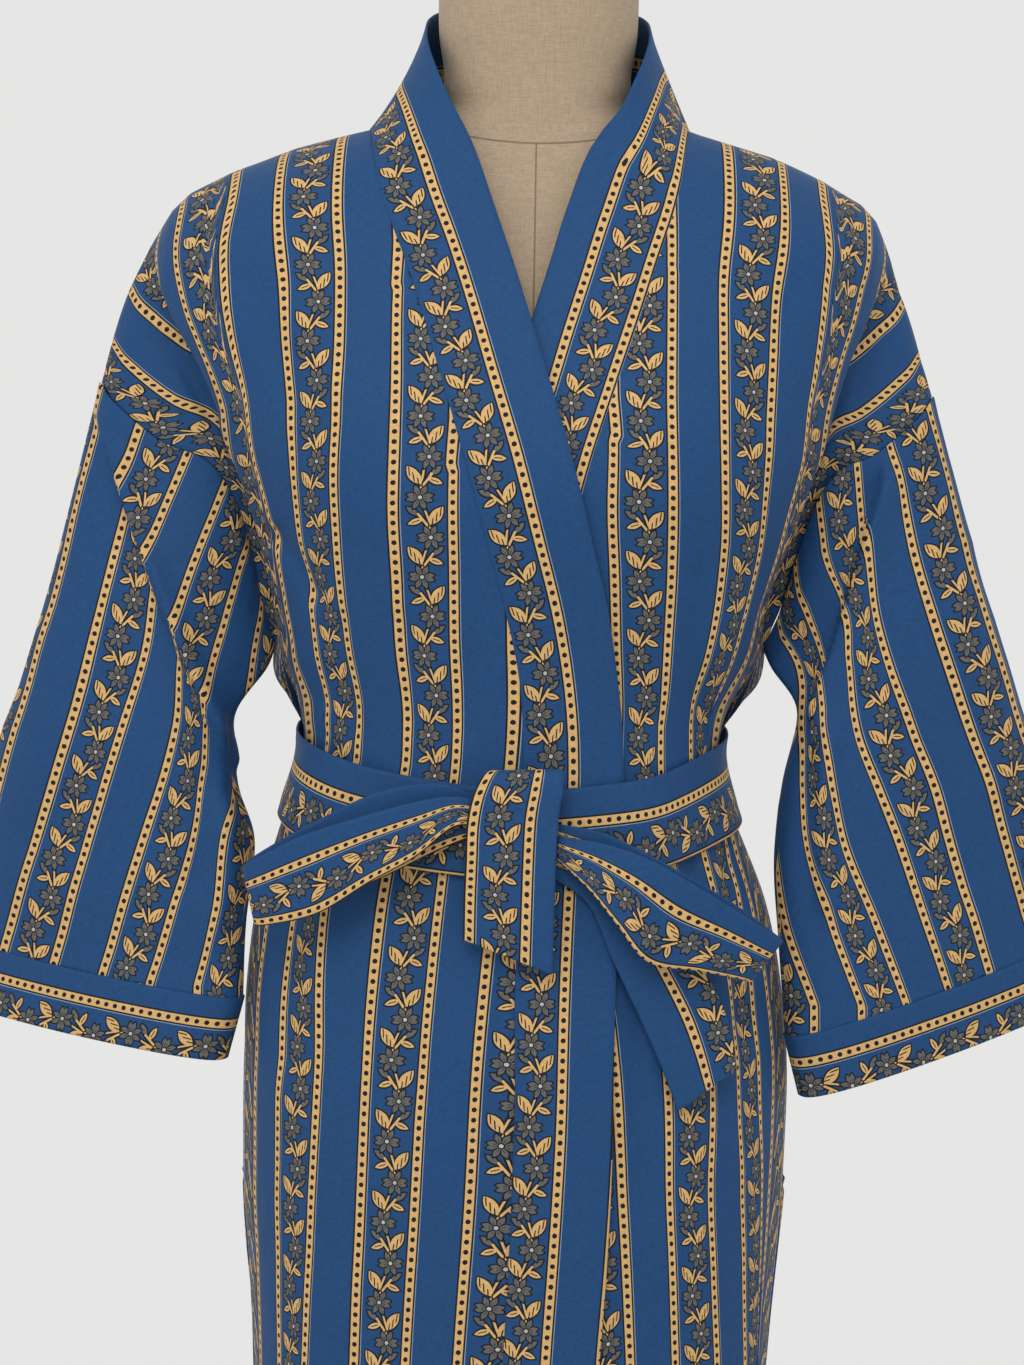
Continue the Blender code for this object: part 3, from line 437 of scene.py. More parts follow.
def signed_distance(x, z, line):
    """Distance from the line of points, positive to its left as it runs down, and the share along it."""
    line = np.asarray(line, float)
    best = np.full(np.shape(x), 1e9)
    side = np.zeros(np.shape(x))
    share = np.zeros(np.shape(x))
    lengths = np.linalg.norm(np.diff(line, axis=0), axis=1)
    total = lengths.sum()
    run = 0.0
    for (ax, az), (bx, bz), length in zip(line[:-1], line[1:], lengths):
        ux, uz = (bx - ax) / length, (bz - az) / length
        t = np.clip((x - ax) * ux + (z - az) * uz, 0, length)
        px, pz = x - ax - t * ux, z - az - t * uz
        distance = np.hypot(px, pz)
        nearer = distance < best
        best = np.where(nearer, distance, best)
        side = np.where(nearer, np.sign(ux * pz - uz * px), side)
        share = np.where(nearer, (run + t) / total, share)
        run += length
    return best * side, share


def crease_field(x, z, creases):
    """Sum of soft troughs (negative) and ridges: each is depth, width on one side, width on the other, line."""
    out = np.zeros(np.shape(x))
    for depth, width_a, width_b, line in creases:
        distance, share = signed_distance(x, z, line)
        width = np.where(distance > 0, width_a, width_b)
        ends = np.clip(np.minimum(share, 1 - share) * 5, 0, 1)
        out += depth * np.exp(-(distance / width) ** 2) * ease(ends)
    return out


def ripple(x, z, size, seed):
    """A gentle unevenness from a few fixed waves, between about -1 and 1."""
    turn = np.random.default_rng(seed).uniform(0, 2 * np.pi, (5, 2))
    out = np.zeros(np.shape(x))
    for heading, phase in turn:
        wave = (x * np.cos(heading) + z * np.sin(heading)) / size
        out += np.sin(wave * 2 * np.pi + phase + 1.7 * np.sin(wave * 2.3 + heading))
    return out / 3


def in_photo(points):
    """Where points in millimetres stand in the photo, in its pixels."""
    far = 1 + points[..., 1] / CAMERA_DISTANCE
    x = points[..., 0] / (PIXEL_SIZE * far) + FORM_ASIDE
    y = (CENTRE_HEIGHT - CAMERA_HEIGHT - (points[..., 2] - CAMERA_HEIGHT) / far) / PIXEL_SIZE
    roll = math.radians(CAMERA_ROLL)
    return x - roll * y + PHOTO_CENTRE[0], y + roll * x + PHOTO_CENTRE[1]


def stripe_places(x, y, rows, cloth):
    """Print place across of points in the photo, from the rows of stripes."""
    stripes = smooth(rows[:, 0], rows[:, 1:], y.ravel())
    flat = x.ravel()
    after = np.clip((flat[:, None] > stripes).sum(axis=1), 1, len(cloth) - 1)
    pick = np.arange(len(flat))
    low, high = stripes[pick, after - 1], stripes[pick, after]
    share = (flat - low) / (high - low)
    return (cloth[after - 1] + share * (cloth[after] - cloth[after - 1])).reshape(x.shape)


def spread_to_edges(across, front, sense):
    """Print places across, with the cloth's own length where it turns away to the sides."""
    middle = across.shape[1] // 2
    lengths = np.linalg.norm(np.diff(front, axis=1), axis=-1)
    steps = np.maximum(np.diff(across, axis=1) * sense, EDGE_SHARE * lengths)
    inner = across[:, middle:middle + 1] + sense * np.cumsum(steps[:, middle:], axis=1)
    outer = across[:, middle:middle + 1] - sense * np.cumsum(steps[:, middle - 1::-1], axis=1)[:, ::-1]
    return np.concatenate([outer, across[:, middle:middle + 1], inner], axis=1)


def overlap_field(x, y, line, raised, reach_over, sunk, reach_under):
    """A step along the line, where the cloth on its left lies over the cloth on its right."""
    distance, share = signed_distance(x, y, line)
    over = raised * np.exp(-(distance / reach_over) ** 2)
    under = -sunk * np.exp(-(distance / reach_under) ** 2)
    step = under + (over - under) * ease((distance + 2) / 4)
    return step * ease(np.clip(np.minimum(share, 1 - share) * 5, 0, 1))


def creased(grid, creases, ring=False, weight=1.0, uneven=0.0, overlap=None):
    """The grid with its creases pressed in, and a gentle unevenness of this many millimetres."""
    x, y = in_photo(grid)
    amount = crease_field(x, y, creases) + uneven * ripple(x + grid[..., 1], y, 170.0, 3)
    if overlap:
        amount = amount + overlap_field(x, y, *overlap)
    return pushed(grid, amount * weight, ring)


def normals_of(grid, ring):
    along = np.gradient(grid, axis=0)
    if ring:
        across = np.roll(grid, -1, axis=1) - np.roll(grid, 1, axis=1)
    else:
        across = np.gradient(grid, axis=1)
    normal = np.cross(along, across)
    return normal / np.maximum(np.linalg.norm(normal, axis=-1, keepdims=True), 1e-9)


def pushed(grid, amount, ring=False):
    """The grid moved along its normals by these amounts."""
    return grid + normals_of(grid, ring) * np.asarray(amount)[..., None]


def quads_of(index):
    """Corners of each square in a grid of point numbers."""
    return np.stack([index[:-1, :-1], index[1:, :-1], index[1:, 1:], index[:-1, 1:]], axis=-1).reshape(-1, 4)


def strip_between(first, second):
    """Corners of the faces between two lines of point numbers."""
    return np.stack([first[:-1], first[1:], second[1:], second[:-1]], axis=-1)


def shell(name, grid, print_map, thickness, ring=False, across_top=None):
    """Thin cloth: the grid is its outer face, with a rounded rim. print_map gives the print's place in mm."""
    rows, columns = grid.shape[:2]
    normal = normals_of(grid, ring)
    if across_top is not None:
        normal[0] -= np.outer(normal[0] @ across_top, across_top)
        normal[0] /= np.linalg.norm(normal[0], axis=-1, keepdims=True)
    outside, inside = grid.reshape(-1, 3), (grid - normal * thickness).reshape(-1, 3)
    middle = (outside + inside) / 2
    size = rows * columns
    index = np.arange(size).reshape(rows, columns)
    print_index = np.arange(rows * print_map.shape[1]).reshape(rows, -1)
    if ring:
        index = np.concatenate([index, index[:, :1]], axis=1)
        ends = closed(grid[0] - grid[1]), closed(grid[-1] - grid[-2])[::-1]
        rims = [(index[0], print_index[0], ends[0]), (index[-1, ::-1], print_index[-1, ::-1], ends[1])]
    else:
        loop = closed(np.concatenate([index[0], index[1:, -1], index[-1, -2::-1], index[-2:0:-1, 0]]))
        around = middle[loop[:-1]]
        tangent = np.roll(around, -1, axis=0) - np.roll(around, 1, axis=0)
        outward = closed(np.cross(tangent, normal.reshape(-1, 3)[loop[:-1]]))
        outward *= np.sign(np.sum(outward * (middle[loop] - outside.mean(axis=0))))
        rims = [(loop, loop, outward)]
    quads, print_quads = quads_of(index), quads_of(print_index)
    faces = [quads, quads[:, ::-1] + size]
    marks = [print_quads, print_quads[:, ::-1]]
    points = [outside, inside]
    count = 2 * size
    for border, border_print, outward in rims:
        outward = outward / np.maximum(np.linalg.norm(outward, axis=1, keepdims=True), 1e-9)
        points.append((middle[border] + outward * thickness * RIM_REACH)[:-1])
        new = closed(count + np.arange(len(border) - 1))
        count += len(border) - 1
        faces += [strip_between(border, new), strip_between(new, border + size)]
        marks += [strip_between(border_print, border_print)] * 2
    mesh = bpy.data.meshes.new(name)
    mesh.from_pydata((np.concatenate(points) * MM).tolist(), [], np.concatenate(faces).tolist())
    layer = mesh.uv_layers.new(name="print")
    places = print_map.reshape(-1, 2)[np.concatenate(marks).reshape(-1)] * MM
    layer.data.foreach_set("uv", places.astype(np.float32).ravel())
    return finished(name, mesh)


def finished(name, mesh):
    """Links the mesh as a smooth-shaded piece with its faces turned outward."""
    work = bmesh.new()
    work.from_mesh(mesh)
    bmesh.ops.recalc_face_normals(work, faces=work.faces)
    work.to_mesh(mesh)
    work.free()
    mesh.shade_smooth()
    mesh.update()
    piece = bpy.data.objects.new(name, mesh)
    bpy.context.scene.collection.objects.link(piece)
    return piece


def print_along(grid, across):
    """Length of cloth down to each point, along the stripe that it lies on, from where that stripe is level."""
    samples = np.linspace(across.min(), across.max(), 260)
    order = slice(None, None, 1 if across[0, -1] > across[0, 0] else -1)
    followed = np.array([[np.interp(samples, place[order], row[order, k]) for k in range(3)]
                         for row, place in zip(grid, across)]).transpose(0, 2, 1)
    total = lengths_along(followed)
    for k in range(len(samples)):
        total[:, k] -= np.interp(-LEVEL_ROW, -followed[:, k, 2], total[:, k])
    return np.array([np.interp(place, samples, length) for place, length in zip(across, total)])


def row_heights(angles, first_x, v):
    """Heights of a row of cloth v below the shoulder line, at these angles round the body."""
    z = np.full(len(angles), row_height(first_x, v))
    for _ in range(6):
        z = row_height(section_point(angles, z)[:, 0], v)
    return z


def side_below(outer, v, z, fold_angle, seam_angle):
    """The dropped shoulder's points below the armhole, where they fade into the body's side."""
    spread = np.linspace(0, 1, 5)[1:]
    lower = section_point(fold_angle + (seam_angle - fold_angle) * spread, np.full(4, z))
    outer = outer + [0, 0, ARMHOLE - v]
    return outer + (lower - outer) * ease((v - ARMHOLE) / FADE)


def fine_front(stripes, seam_column, lift):
    """One front on the negative x side, and its print places: columns from the neckband seam to the side."""
    rows, prints = [], []
    share = np.linspace(0, 1, FINE_CHEST)
    five = np.arange(5)
    at = np.linspace(0, 4, FINE_OUTER + 1)[1:]
    for v in FINE_ROWS:
        x = np.interp(v, [0, 150, 400], [90.0, 50.0, 3.0])
        for _ in range(12):
            x = smooth(BAND_SEAM[:, 0], BAND_SEAM[:, seam_column], row_height(x, v))
        seam_angle = angle_of(x, row_height(x, v))
        corner, outer = np.split(drop_row(v), [1])
        side = row_at(SIDE_ANGLES, corner[0, 2] if v <= ARMHOLE else row_height(160.0, v))
        inner_x = row_at(stripes, row_height(x, v))
        knots = np.concatenate([angle_of(inner_x, row_height(inner_x, v)), np.radians(side[:3])])
        fold_cloth = smooth(FOLD_CLOTH[:, 0], FOLD_CLOTH[:, 1], v)
        second = max(SIDE_CLOTH[1], SIDE_CLOTH[0] + (fold_cloth - SIDE_CLOTH[0]) * SECOND_SHARE)
        cloth = np.concatenate([STRIPE_CLOTH, SIDE_CLOTH[:1], [second, fold_cloth]])
        keep = knots > seam_angle + 0.04
        seam_cloth = np.interp(seam_angle, knots, cloth)
        if seam_angle < knots[0]:
            seam_cloth = cloth[0] + (knots[0] - seam_angle) * (cloth[0] - cloth[1]) / (knots[1] - knots[0])
        across = np.linspace(seam_cloth, fold_cloth, FINE_CHEST)
        all_knots = np.concatenate([[seam_angle], knots[keep]])
        angles = smooth(np.concatenate([[seam_cloth + 0.01], cloth[keep]]), all_knots, across)
        z = row_heights(angles, x, v)
        row = section_point(angles, z, lift * (1 - ease((share - 0.25) / 0.5)))
        if v <= ARMHOLE:
            joining = corner[0] - row[-1]
        row += np.outer(share**3, joining * (1 - ease((v - ARMHOLE) / PULL_FADE)))
        from_seam = lengths_along(np.concatenate([row[-1:], outer])[::-1])[::-1]
        outer_cloth = DROP_SEAM_CLOTH + from_seam[1:]
        if v > ARMHOLE:
            outer = side_below(outer, v, z[-1], angles[-1], np.radians(side[3]))
            outer_cloth += (fold_cloth + SIDE_SEAM_STEPS - outer_cloth) * ease((v - ARMHOLE) / FADE)
        rows.append(np.concatenate([row, smooth(five, np.concatenate([row[-1:], outer]), at)]))
        prints.append(np.concatenate([across, np.interp(at, five, np.append(fold_cloth, outer_cloth))]))
    grid, across = np.array(rows) * MIRROR, np.array(prints)
    return grid, np.stack([across, print_along(grid, across)], axis=-1)


def fine_back():
    """The back and its print places: columns from the one armhole or side seam to the other."""
    rows = []
    share = np.linspace(0, 1, FINE_BACK)
    at = np.linspace(0, 4, FINE_OUTER + 1)[1:]
    for v in FINE_ROWS:
        corner, outer = np.split(drop_row(v) * [1, -1, 1], [1])
        seam_angle = np.radians(row_at(SIDE_ANGLES, row_height(160.0, v))[3])
        fold_angle = np.pi - angle_of(corner[0, 0], corner[0, 2])
        if v > ARMHOLE:
            low_angle = seam_angle + (np.pi - seam_angle) * 0.1
            fold_angle += (low_angle - fold_angle) * ease((v - ARMHOLE) / PULL_FADE)
        angles = np.pi - (np.pi - fold_angle) * share
        z = row_heights(angles, 0.0, v)
        if v < 60:
            z = np.minimum(z, neck_back_height(share) - v * 0.9)
        folds = smooth(BODY[:, 0], BODY[:, 4], z) * np.cos(share * BACK_FOLDS * 2 * np.pi)
        half = section_point(angles, z, 0.0, folds)
        if v <= ARMHOLE:
            joining = corner[0] - half[-1]
        half += np.outer(share**3, joining * (1 - ease((v - ARMHOLE) / PULL_FADE)))
        if v > ARMHOLE:
            outer = side_below(outer, v, z[-1], angles[-1], seam_angle)
        half = np.concatenate([half, smooth(np.arange(5), np.concatenate([half[-1:], outer]), at)])
        rows.append(np.concatenate([half[:0:-1] * MIRROR, half]))
    grid = np.array(rows)
    place = lengths_along(grid[..., :2].swapaxes(0, 1)).T
    place += PITCH / 2 - place[:, grid.shape[1] // 2, None]
    return grid, np.stack([place, print_along(grid, place)], axis=-1)


def fine_sleeve(table, mirror):
    """A sleeve's rings and print places. Each ring starts and ends at the inner seam."""
    turn = np.linspace(-np.pi, np.pi, FINE_SLEEVE_COLUMNS, endpoint=False)
    down = ARMHOLE * np.abs(turn) / np.pi
    armhole = np.array([drop_row(v)[4] for v in down])
    armhole[:, 1] = np.where(turn >= 0, armhole[:, 1], -armhole[:, 1])
    rings = []
    for share in np.linspace(0, 1, FINE_SLEEVE_ROWS):
        ring = sleeve_ring(table, share, turn)
        ring += (armhole - sleeve_ring(table, 0.0, turn)) * (1 - ease(share / SEAM_FADE)) ** 1.5
        rings.append(ring)
    rings = np.array(rings)
    step = rings[1] - rings[0]
    rings[0] += step / np.linalg.norm(step, axis=1, keepdims=True) * 0.6
    rings = leaned(rings * [mirror, 1, 1])
    top, bottom = table[0, 1:4], table[-1, 1:4]
    edge = (bottom - top) / np.linalg.norm(bottom - top)
    half = len(turn) // 2
    front = np.concatenate([rings[:, half:], rings[:, :1]], axis=1)
    x, y = in_photo(front)
    if mirror == -1:
        crease = np.array(RIGHT_SLEEVE_CREASE, float)
        above = ease((x - smooth(crease[:, 1], crease[:, 0], y) + 2.5) / 5)
        across = stripe_places(x, y, RIGHT_SLEEVE_BELOW, RIGHT_SLEEVE_CLOTH)
        across += above * (stripe_places(x, y, RIGHT_SLEEVE_ABOVE, RIGHT_SLEEVE_CLOTH) - across)
    else:
        across = stripe_places(x, y, LEFT_SLEEVE_STRIPES, LEFT_SLEEVE_CLOTH)
    along = ((front * [mirror, 1, 1]) - top) @ edge
    across = spread_to_edges(across, front, -mirror)
    behind = 2 * across[:, :1] - across[:, :0:-1]
    across = np.concatenate([behind, across], axis=1)
    along = np.concatenate([along[:, :0:-1], along], axis=1)
    return rings, np.stack([across, along], axis=-1), lengths_along(closed(rings[-1]))


def fine_band(front, back_top, column, lift):
    """Half of the neckband, on the negative x side: rows from the back centre to the hem, columns inward."""
    middle = len(back_top) // 2
    neck_seam = [p for p in back_top[: middle + 1][::-1] if p[0] > -93]
    seam = resampled(np.concatenate([np.array(neck_seam), front[:, 0]]), FINE_BAND_ROWS)
    z = BAND_EDGE[:, 0]
    x = -BAND_EDGE[:, column]
    low_edge = np.stack([x, front_depth(x, z, lift), z], axis=1)
    edge = resampled(np.concatenate([BAND_NECK_EDGE, low_edge]) * [-1, 1, 1], 2400)
    rows = []
    last = 0
    for k, point in enumerate(seam):
        ahead = edge[last:last + 60]
        nearest = last + int(np.argmin(np.linalg.norm(ahead - point, axis=1)))
        if k == 0:
            nearest = 0
        if k == FINE_BAND_ROWS - 1:
            nearest = len(edge) - 1
        last = nearest
        raised = BAND_NECK_RISE * ease((point[1] + 90) / 50)
        share = np.linspace(raised, 1, FINE_BAND_COLUMNS)[:, None]
        row = point + (edge[nearest] - point) * share
        on_body = front_depth(row[:, 0], row[:, 2], lift)
        weight = ease((1392 - row[:, 2]) / 40) if point[1] < 0 else 0.0
        row[:, 1] += (on_body - row[:, 1]) * weight
        rows.append(row)
    grid = np.array(rows)
    return grid, np.linspace(0, BAND_WIDTH, FINE_BAND_COLUMNS), lengths_along(grid[:, 0])[:, None]


def belt_surface():
    turn = np.linspace(0, 2 * np.pi, FINE_BELT_COLUMNS, endpoint=False)
    from_front = np.where(turn <= np.pi, turn, 2 * np.pi - turn)
    middle = smooth(np.radians(BELT[:, 0]), BELT[:, 1], from_front)
    reach = np.where(turn <= np.pi, 0.55, 1.0)
    front_lift = (OVERLAP_LIFT + BAND_LIFT) * (1 - ease((from_front - reach * 0.6) / (reach * 0.8)))
    back_lift = BELT_BACK_LIFT * ease((from_front - 1.5) / 0.5)
    rows = []
    for level in np.linspace(0.5, -0.5, FINE_BELT_ROWS):
        rows.append(section_point(turn, middle + level * BELT_WIDTH, BELT_CLEAR + front_lift + back_lift))
    return np.array(rows)


def ribbon(edges):
    """A strip through the table's edge points, and the print's places along it."""
    at = np.linspace(0, len(edges) - 1, FINE_BOW_ROWS)
    one, other = np.split(smooth(np.arange(len(edges)), edges, at)[:, None], 2, axis=-1)
    share = np.linspace(0, 1, FINE_BOW_COLUMNS)[None, :, None]
    grid = one * (1 - share) + other * share - [0, BOW_FORWARD, 0]
    return grid, lengths_along(grid[:, FINE_BOW_COLUMNS // 2])[:, None]


def print_of(across, along):
    """Print places from places across and along that go together as rows and columns."""
    return np.stack(np.broadcast_arrays(across, along), axis=-1)


class Sums:
    """Builds arithmetic in a material's nodes. Values are sockets or plain numbers."""

    def __init__(self, tree):
        self.tree = tree

    def put(self, socket, value):
        if isinstance(value, bpy.types.NodeSocket):
            self.tree.links.new(value, socket)
        else:
            socket.default_value = value

    def fill(self, inputs, values):
        """Puts each value in the input of its name or number."""
        for name, value in values.items():
            self.put(inputs[name], value)

    def node(self, kind, values):
        node = self.tree.nodes.new("ShaderNode" + kind)
        self.fill(node.inputs, values)
        return node.outputs

    def math(self, operation, *values, clamp=False):
        node = self.tree.nodes.new("ShaderNodeMath")
        node.operation = operation
        node.use_clamp = clamp
        self.fill(node.inputs, dict(enumerate(values)))
        return node.outputs[0]

    def vector(self, operation, *values, scale=None):
        node = self.tree.nodes.new("ShaderNodeVectorMath")
        node.operation = operation
        self.fill(node.inputs, dict(enumerate(values)))
        if scale is not None:
            self.put(node.inputs["Scale"], scale)
        return node.outputs["Value" if operation in ("DOT_PRODUCT", "LENGTH", "DISTANCE") else "Vector"]

    def noise(self, place, scale, detail=2.0):
        return self.node("TexNoise", {"Vector": place, "Scale": scale, "Detail": detail})[0]

    def bump(self, height, strength, distance):
        return self.node("Bump", {"Height": height, "Strength": strength, "Distance": distance})[0]

    def plus(self, first, second):
        return self.math("ADD", first, second)

    def minus(self, first, second):
        return self.math("SUBTRACT", first, second)

    def both(self, first, second):
        return self.math("MULTIPLY", first, second)

    def under(self, value, limit):
        return self.math("LESS_THAN", value, limit)

    def near(self, value, limit):
        return self.under(self.math("ABSOLUTE", value), limit)

    def either(self, first, *others):
        for value in others:
            first = self.math("MAXIMUM", first, value)
        return first

    def least(self, first, *others):
        for value in others:
            first = self.math("MINIMUM", first, value)
        return first

    def mix(self, share, first, second):
        node = self.tree.nodes.new("ShaderNodeMix")
        node.data_type = "RGBA"
        self.put(node.inputs["Factor"], share)
        for name, value in (("A", first), ("B", second)):
            self.put([s for s in node.inputs if s.name == name and s.type == "RGBA"][0], value)
        return [s for s in node.outputs if s.type == "RGBA"][0]

    def leaf(self, place, base, tip, half_width):
        """Distance in millimetres outside a pointed leaf, and the places along (-1 to 1) and across it."""
        base, tip = np.array(base), np.array(tip)
        centre, half = (base + tip) / 2, (tip - base) / 2
        size = np.hypot(*half)
        along = self.vector("DOT_PRODUCT", place, (*half / size**2, 0))
        along = self.minus(along, float(centre @ half / size**2))
        side = np.array([-half[1], half[0]]) / size
        across = self.minus(self.vector("DOT_PRODUCT", place, (*side, 0)), float(centre @ side))
        inside = self.both(self.minus(1.0, self.both(along, along)), half_width)
        return self.minus(self.math("ABSOLUTE", across), inside), along, across

    def stem(self, place, start, end, radius):
        """Distance in millimetres outside a straight stem."""
        start, end = np.array(start), np.array(end)
        line = end - start
        square = line @ line
        share = self.vector("DOT_PRODUCT", place, (*line / square, 0))
        share = self.math("SUBTRACT", share, float(start @ line / square), clamp=True)
        nearest = self.vector("ADD", self.vector("SCALE", (*line, 0), scale=share), (*start, 0))
        return self.minus(self.vector("DISTANCE", place, nearest), radius)

    def flower(self, place, centre, turned):
        """Distance outside the petals, distance from the middle, and the wave of the petals."""
        offset = self.vector("SUBTRACT", place, (*centre, 0))
        x, y, _ = self.node("SeparateXYZ", {0: offset})
        angle = self.math("MULTIPLY_ADD", self.math("ARCTAN2", y, x), PETALS / (2 * math.pi), turned)
        wave = self.math("PINGPONG", angle, 0.5)
        from_middle = self.vector("LENGTH", offset)
        reach = self.math("MULTIPLY_ADD", wave, 2 * (PETAL_TIP - PETAL_NOTCH), PETAL_NOTCH)
        return self.both(self.minus(from_middle, reach), PETAL_SLOPE), from_middle, wave


# The print, in millimetres of cloth: stripes, then the vine's parts from one flower to the next. So many whole
# repeats are added that no place is negative.
REPEATS = 200
PITCH = 31.5
FLOWER_STEP = 22.5
DOT_STEP = FLOWER_STEP / 4
STRIPE_HALF = 3.5
STRIPE_LINE = 1.0
DOT_RADIUS = 1.4
VINE_CENTRE = -14.9
FLOWER_SIDE = 2.75
PETALS = 7
PETAL_TIP = 7.0
PETAL_NOTCH = 3.5
PETAL_SLOPE = 0.8
PALE_LINE = 0.45
OUTLINE = 1.0
BLUE = (0.011, 0.061, 0.178, 1)
OCHRE = (0.65, 0.405, 0.16, 1)
GREY = (0.120, 0.116, 0.108, 1)
BLACK = (0.006, 0.008, 0.014, 1)
PALE = (0.42, 0.50, 0.60, 1)
HEART = (0.45, 0.45, 0.44, 1)


def new_material(name):
    """A material, its shader's inputs and the sums in its nodes."""
    made = bpy.data.materials.new(name)
    made.use_nodes = True
    return made, made.node_tree.nodes["Principled BSDF"].inputs, Sums(made.node_tree)


def stripe_parts(s, u, v):
    """Ink, ochre, dots and pale line of the dotted stripes."""
    place = s.math("MODULO", s.plus(u, REPEATS * PITCH + PITCH / 2), PITCH)
    from_stripe = s.minus(place, PITCH / 2)
    beside = s.math("ABSOLUTE", from_stripe)
    ink, ochre = s.under(beside, STRIPE_HALF), s.under(beside, STRIPE_HALF - STRIPE_LINE)
    line = s.both(s.under(from_stripe, STRIPE_HALF + PALE_LINE), s.math("GREATER_THAN", from_stripe, 0.0))
    down = s.minus(s.math("MODULO", s.plus(v, 2 * REPEATS * FLOWER_STEP), DOT_STEP), DOT_STEP / 2)
    from_dot = s.vector("LENGTH", s.node("CombineXYZ", {0: from_stripe, 1: down})[0])
    return ink, ochre, s.both(s.under(from_dot, DOT_RADIUS), ochre), line


def vine_layers(s, u, v):
    """Shares and colours of the vine in every second space, one over the other."""
    row = s.math("DIVIDE", s.plus(v, 2 * REPEATS * FLOWER_STEP), FLOWER_STEP)
    even = s.math("MULTIPLY_ADD", s.math("MODULO", s.math("FLOOR", row), 2.0), -2.0, 1.0)
    across = s.minus(s.math("MODULO", s.plus(u, (REPEATS + 1) * PITCH), 2 * PITCH), PITCH)
    in_vine = s.under(across, 0.0)
    across = s.both(s.minus(across, VINE_CENTRE), even)
    at = s.node("CombineXYZ", {0: across, 1: s.both(s.math("FRACT", row), FLOWER_STEP)})[0]
    main_stem = s.stem(at, (-3.6, 9.3), (3.6, 19.0), 0.62)
    side_stem = s.stem(at, (-1.0, 4.3), (2.6, 14.6), 0.5)
    bud = s.leaf(at, (-3.4, 10.0), (-9.6, 5.2), 1.45)[0]
    small, small_along, small_across = s.leaf(at, (-0.9, 12.0), (-9.0, 14.9), 1.6)
    large, large_along, large_across = s.leaf(at, (2.0, 15.4), (9.6, 5.2), 3.0)
    upper, upper_middle, upper_wave = s.flower(at, (-FLOWER_SIDE, 0.0), 0.2)
    lower, lower_middle, lower_wave = s.flower(at, (FLOWER_SIDE, FLOWER_STEP), -0.2)
    slant = s.math("MULTIPLY_ADD", large_along, 1.7, s.both(large_across, 0.45))
    hatch = s.both(s.under(s.math("FRACT", slant), 0.36), s.near(s.minus(large_across, 0.7), 1.3))
    vein = s.both(s.near(small_across, 0.28), s.near(small_along, 0.5))
    ochre_parts = s.least(main_stem, side_stem, small, large)
    leaf_ochre = s.both(s.under(ochre_parts, 0.0), in_vine)
    flowers = s.least(upper, lower)
    flower_grey = s.both(s.under(flowers, 0.0), in_vine)
    middle = s.least(upper_middle, lower_middle)
    near_upper = s.under(upper_middle, lower_middle)
    wave = s.plus(s.both(upper_wave, near_upper), s.both(lower_wave, s.minus(1.0, near_upper)))
    spokes = s.both(s.under(wave, 0.13), s.under(middle, 4.4))
    ribs = s.both(s.math("GREATER_THAN", wave, 0.44), s.under(middle, 3.8))
    return (
        (s.both(s.under(s.least(ochre_parts, bud), OUTLINE), in_vine), BLACK),
        (s.both(s.under(bud, 0.0), in_vine), GREY),
        (leaf_ochre, OCHRE),
        (s.both(s.either(hatch, vein), leaf_ochre), BLACK),
        (s.both(s.under(flowers, OUTLINE), in_vine), BLACK),
        (flower_grey, GREY),
        (s.both(s.either(spokes, ribs, s.under(middle, 1.7)), flower_grey), BLACK),
        (s.both(s.under(middle, 1.05), in_vine), HEART),
    )


def printed_cotton(name):
    """The printed cloth, with slubs of the yarn that also vary its colour, and small crumples."""
    made, shader, s = new_material(name)
    source = made.node_tree.nodes.new("ShaderNodeUVMap")
    source.uv_map = "print"
    place = s.vector("SCALE", source.outputs[0], scale=1 / MM)
    u, v, _ = s.node("SeparateXYZ", {0: place})
    stripe_ink, stripe_ochre, dots, pale_line = stripe_parts(s, u, v)
    cloth = s.mix(s.both(pale_line, 0.6), BLUE, PALE)
    stripe_layers = ((stripe_ink, BLACK), (stripe_ochre, OCHRE), (dots, BLACK))
    for share, colour in vine_layers(s, u, v) + stripe_layers:
        cloth = s.mix(share, cloth, colour)
    yarns = ((1.3, 0.22, 1.0), (0.2, 1.3, 1.0))
    weave = s.plus(*(s.noise(s.vector("MULTIPLY", place, stretch), 1.0) for stretch in yarns))
    crumple = s.noise(place, 0.035, 3.0)
    height = s.math("MULTIPLY_ADD", crumple, 3.0, s.both(weave, 0.10))
    s.fill(shader, {
        "Base Color": s.vector("SCALE", cloth, scale=s.math("MULTIPLY_ADD", weave, 0.5, 0.5)),
        "Roughness": 0.72, "Specular IOR Level": 0.25, "Sheen Weight": 0.05, "Sheen Roughness": 0.4,
        "Normal": s.bump(height, 0.5, MM),
    })
    return made


def plain_material(name, colour, roughness, noise_scale, noise_depth, coat=0.0):
    """A finish with a fine unevenness in colour, roughness and height."""
    made, shader, s = new_material(name)
    noise = s.noise(s.node("TexCoord", {})["Object"], noise_scale, 5.0)
    light = tuple(min(1.0, c * 1.25) for c in colour) + (1,)
    dark = tuple(c * 0.75 for c in colour) + (1,)
    s.fill(shader, {
        "Base Color": s.mix(noise, dark, light), "Coat Weight": coat,
        "Roughness": s.math("MULTIPLY_ADD", noise, 0.2, roughness - 0.1),
        "Normal": s.bump(noise, 0.4, noise_depth),
    })
    return made


# Seams of the dress form, in metres: the neck seam's height at the front and rise to the sides, half widths
NECK_SEAM_HEIGHT = 1.3785
NECK_SEAM_RISE = 2.5
NECK_SEAM_HALF = 0.0006
FRONT_SEAM_HALF = 0.0005
LINEN_DARK = (0.34, 0.255, 0.172, 1)
LINEN_LIGHT = (0.45, 0.345, 0.24, 1)
LINEN_SEAM = (0.12, 0.085, 0.055, 1)


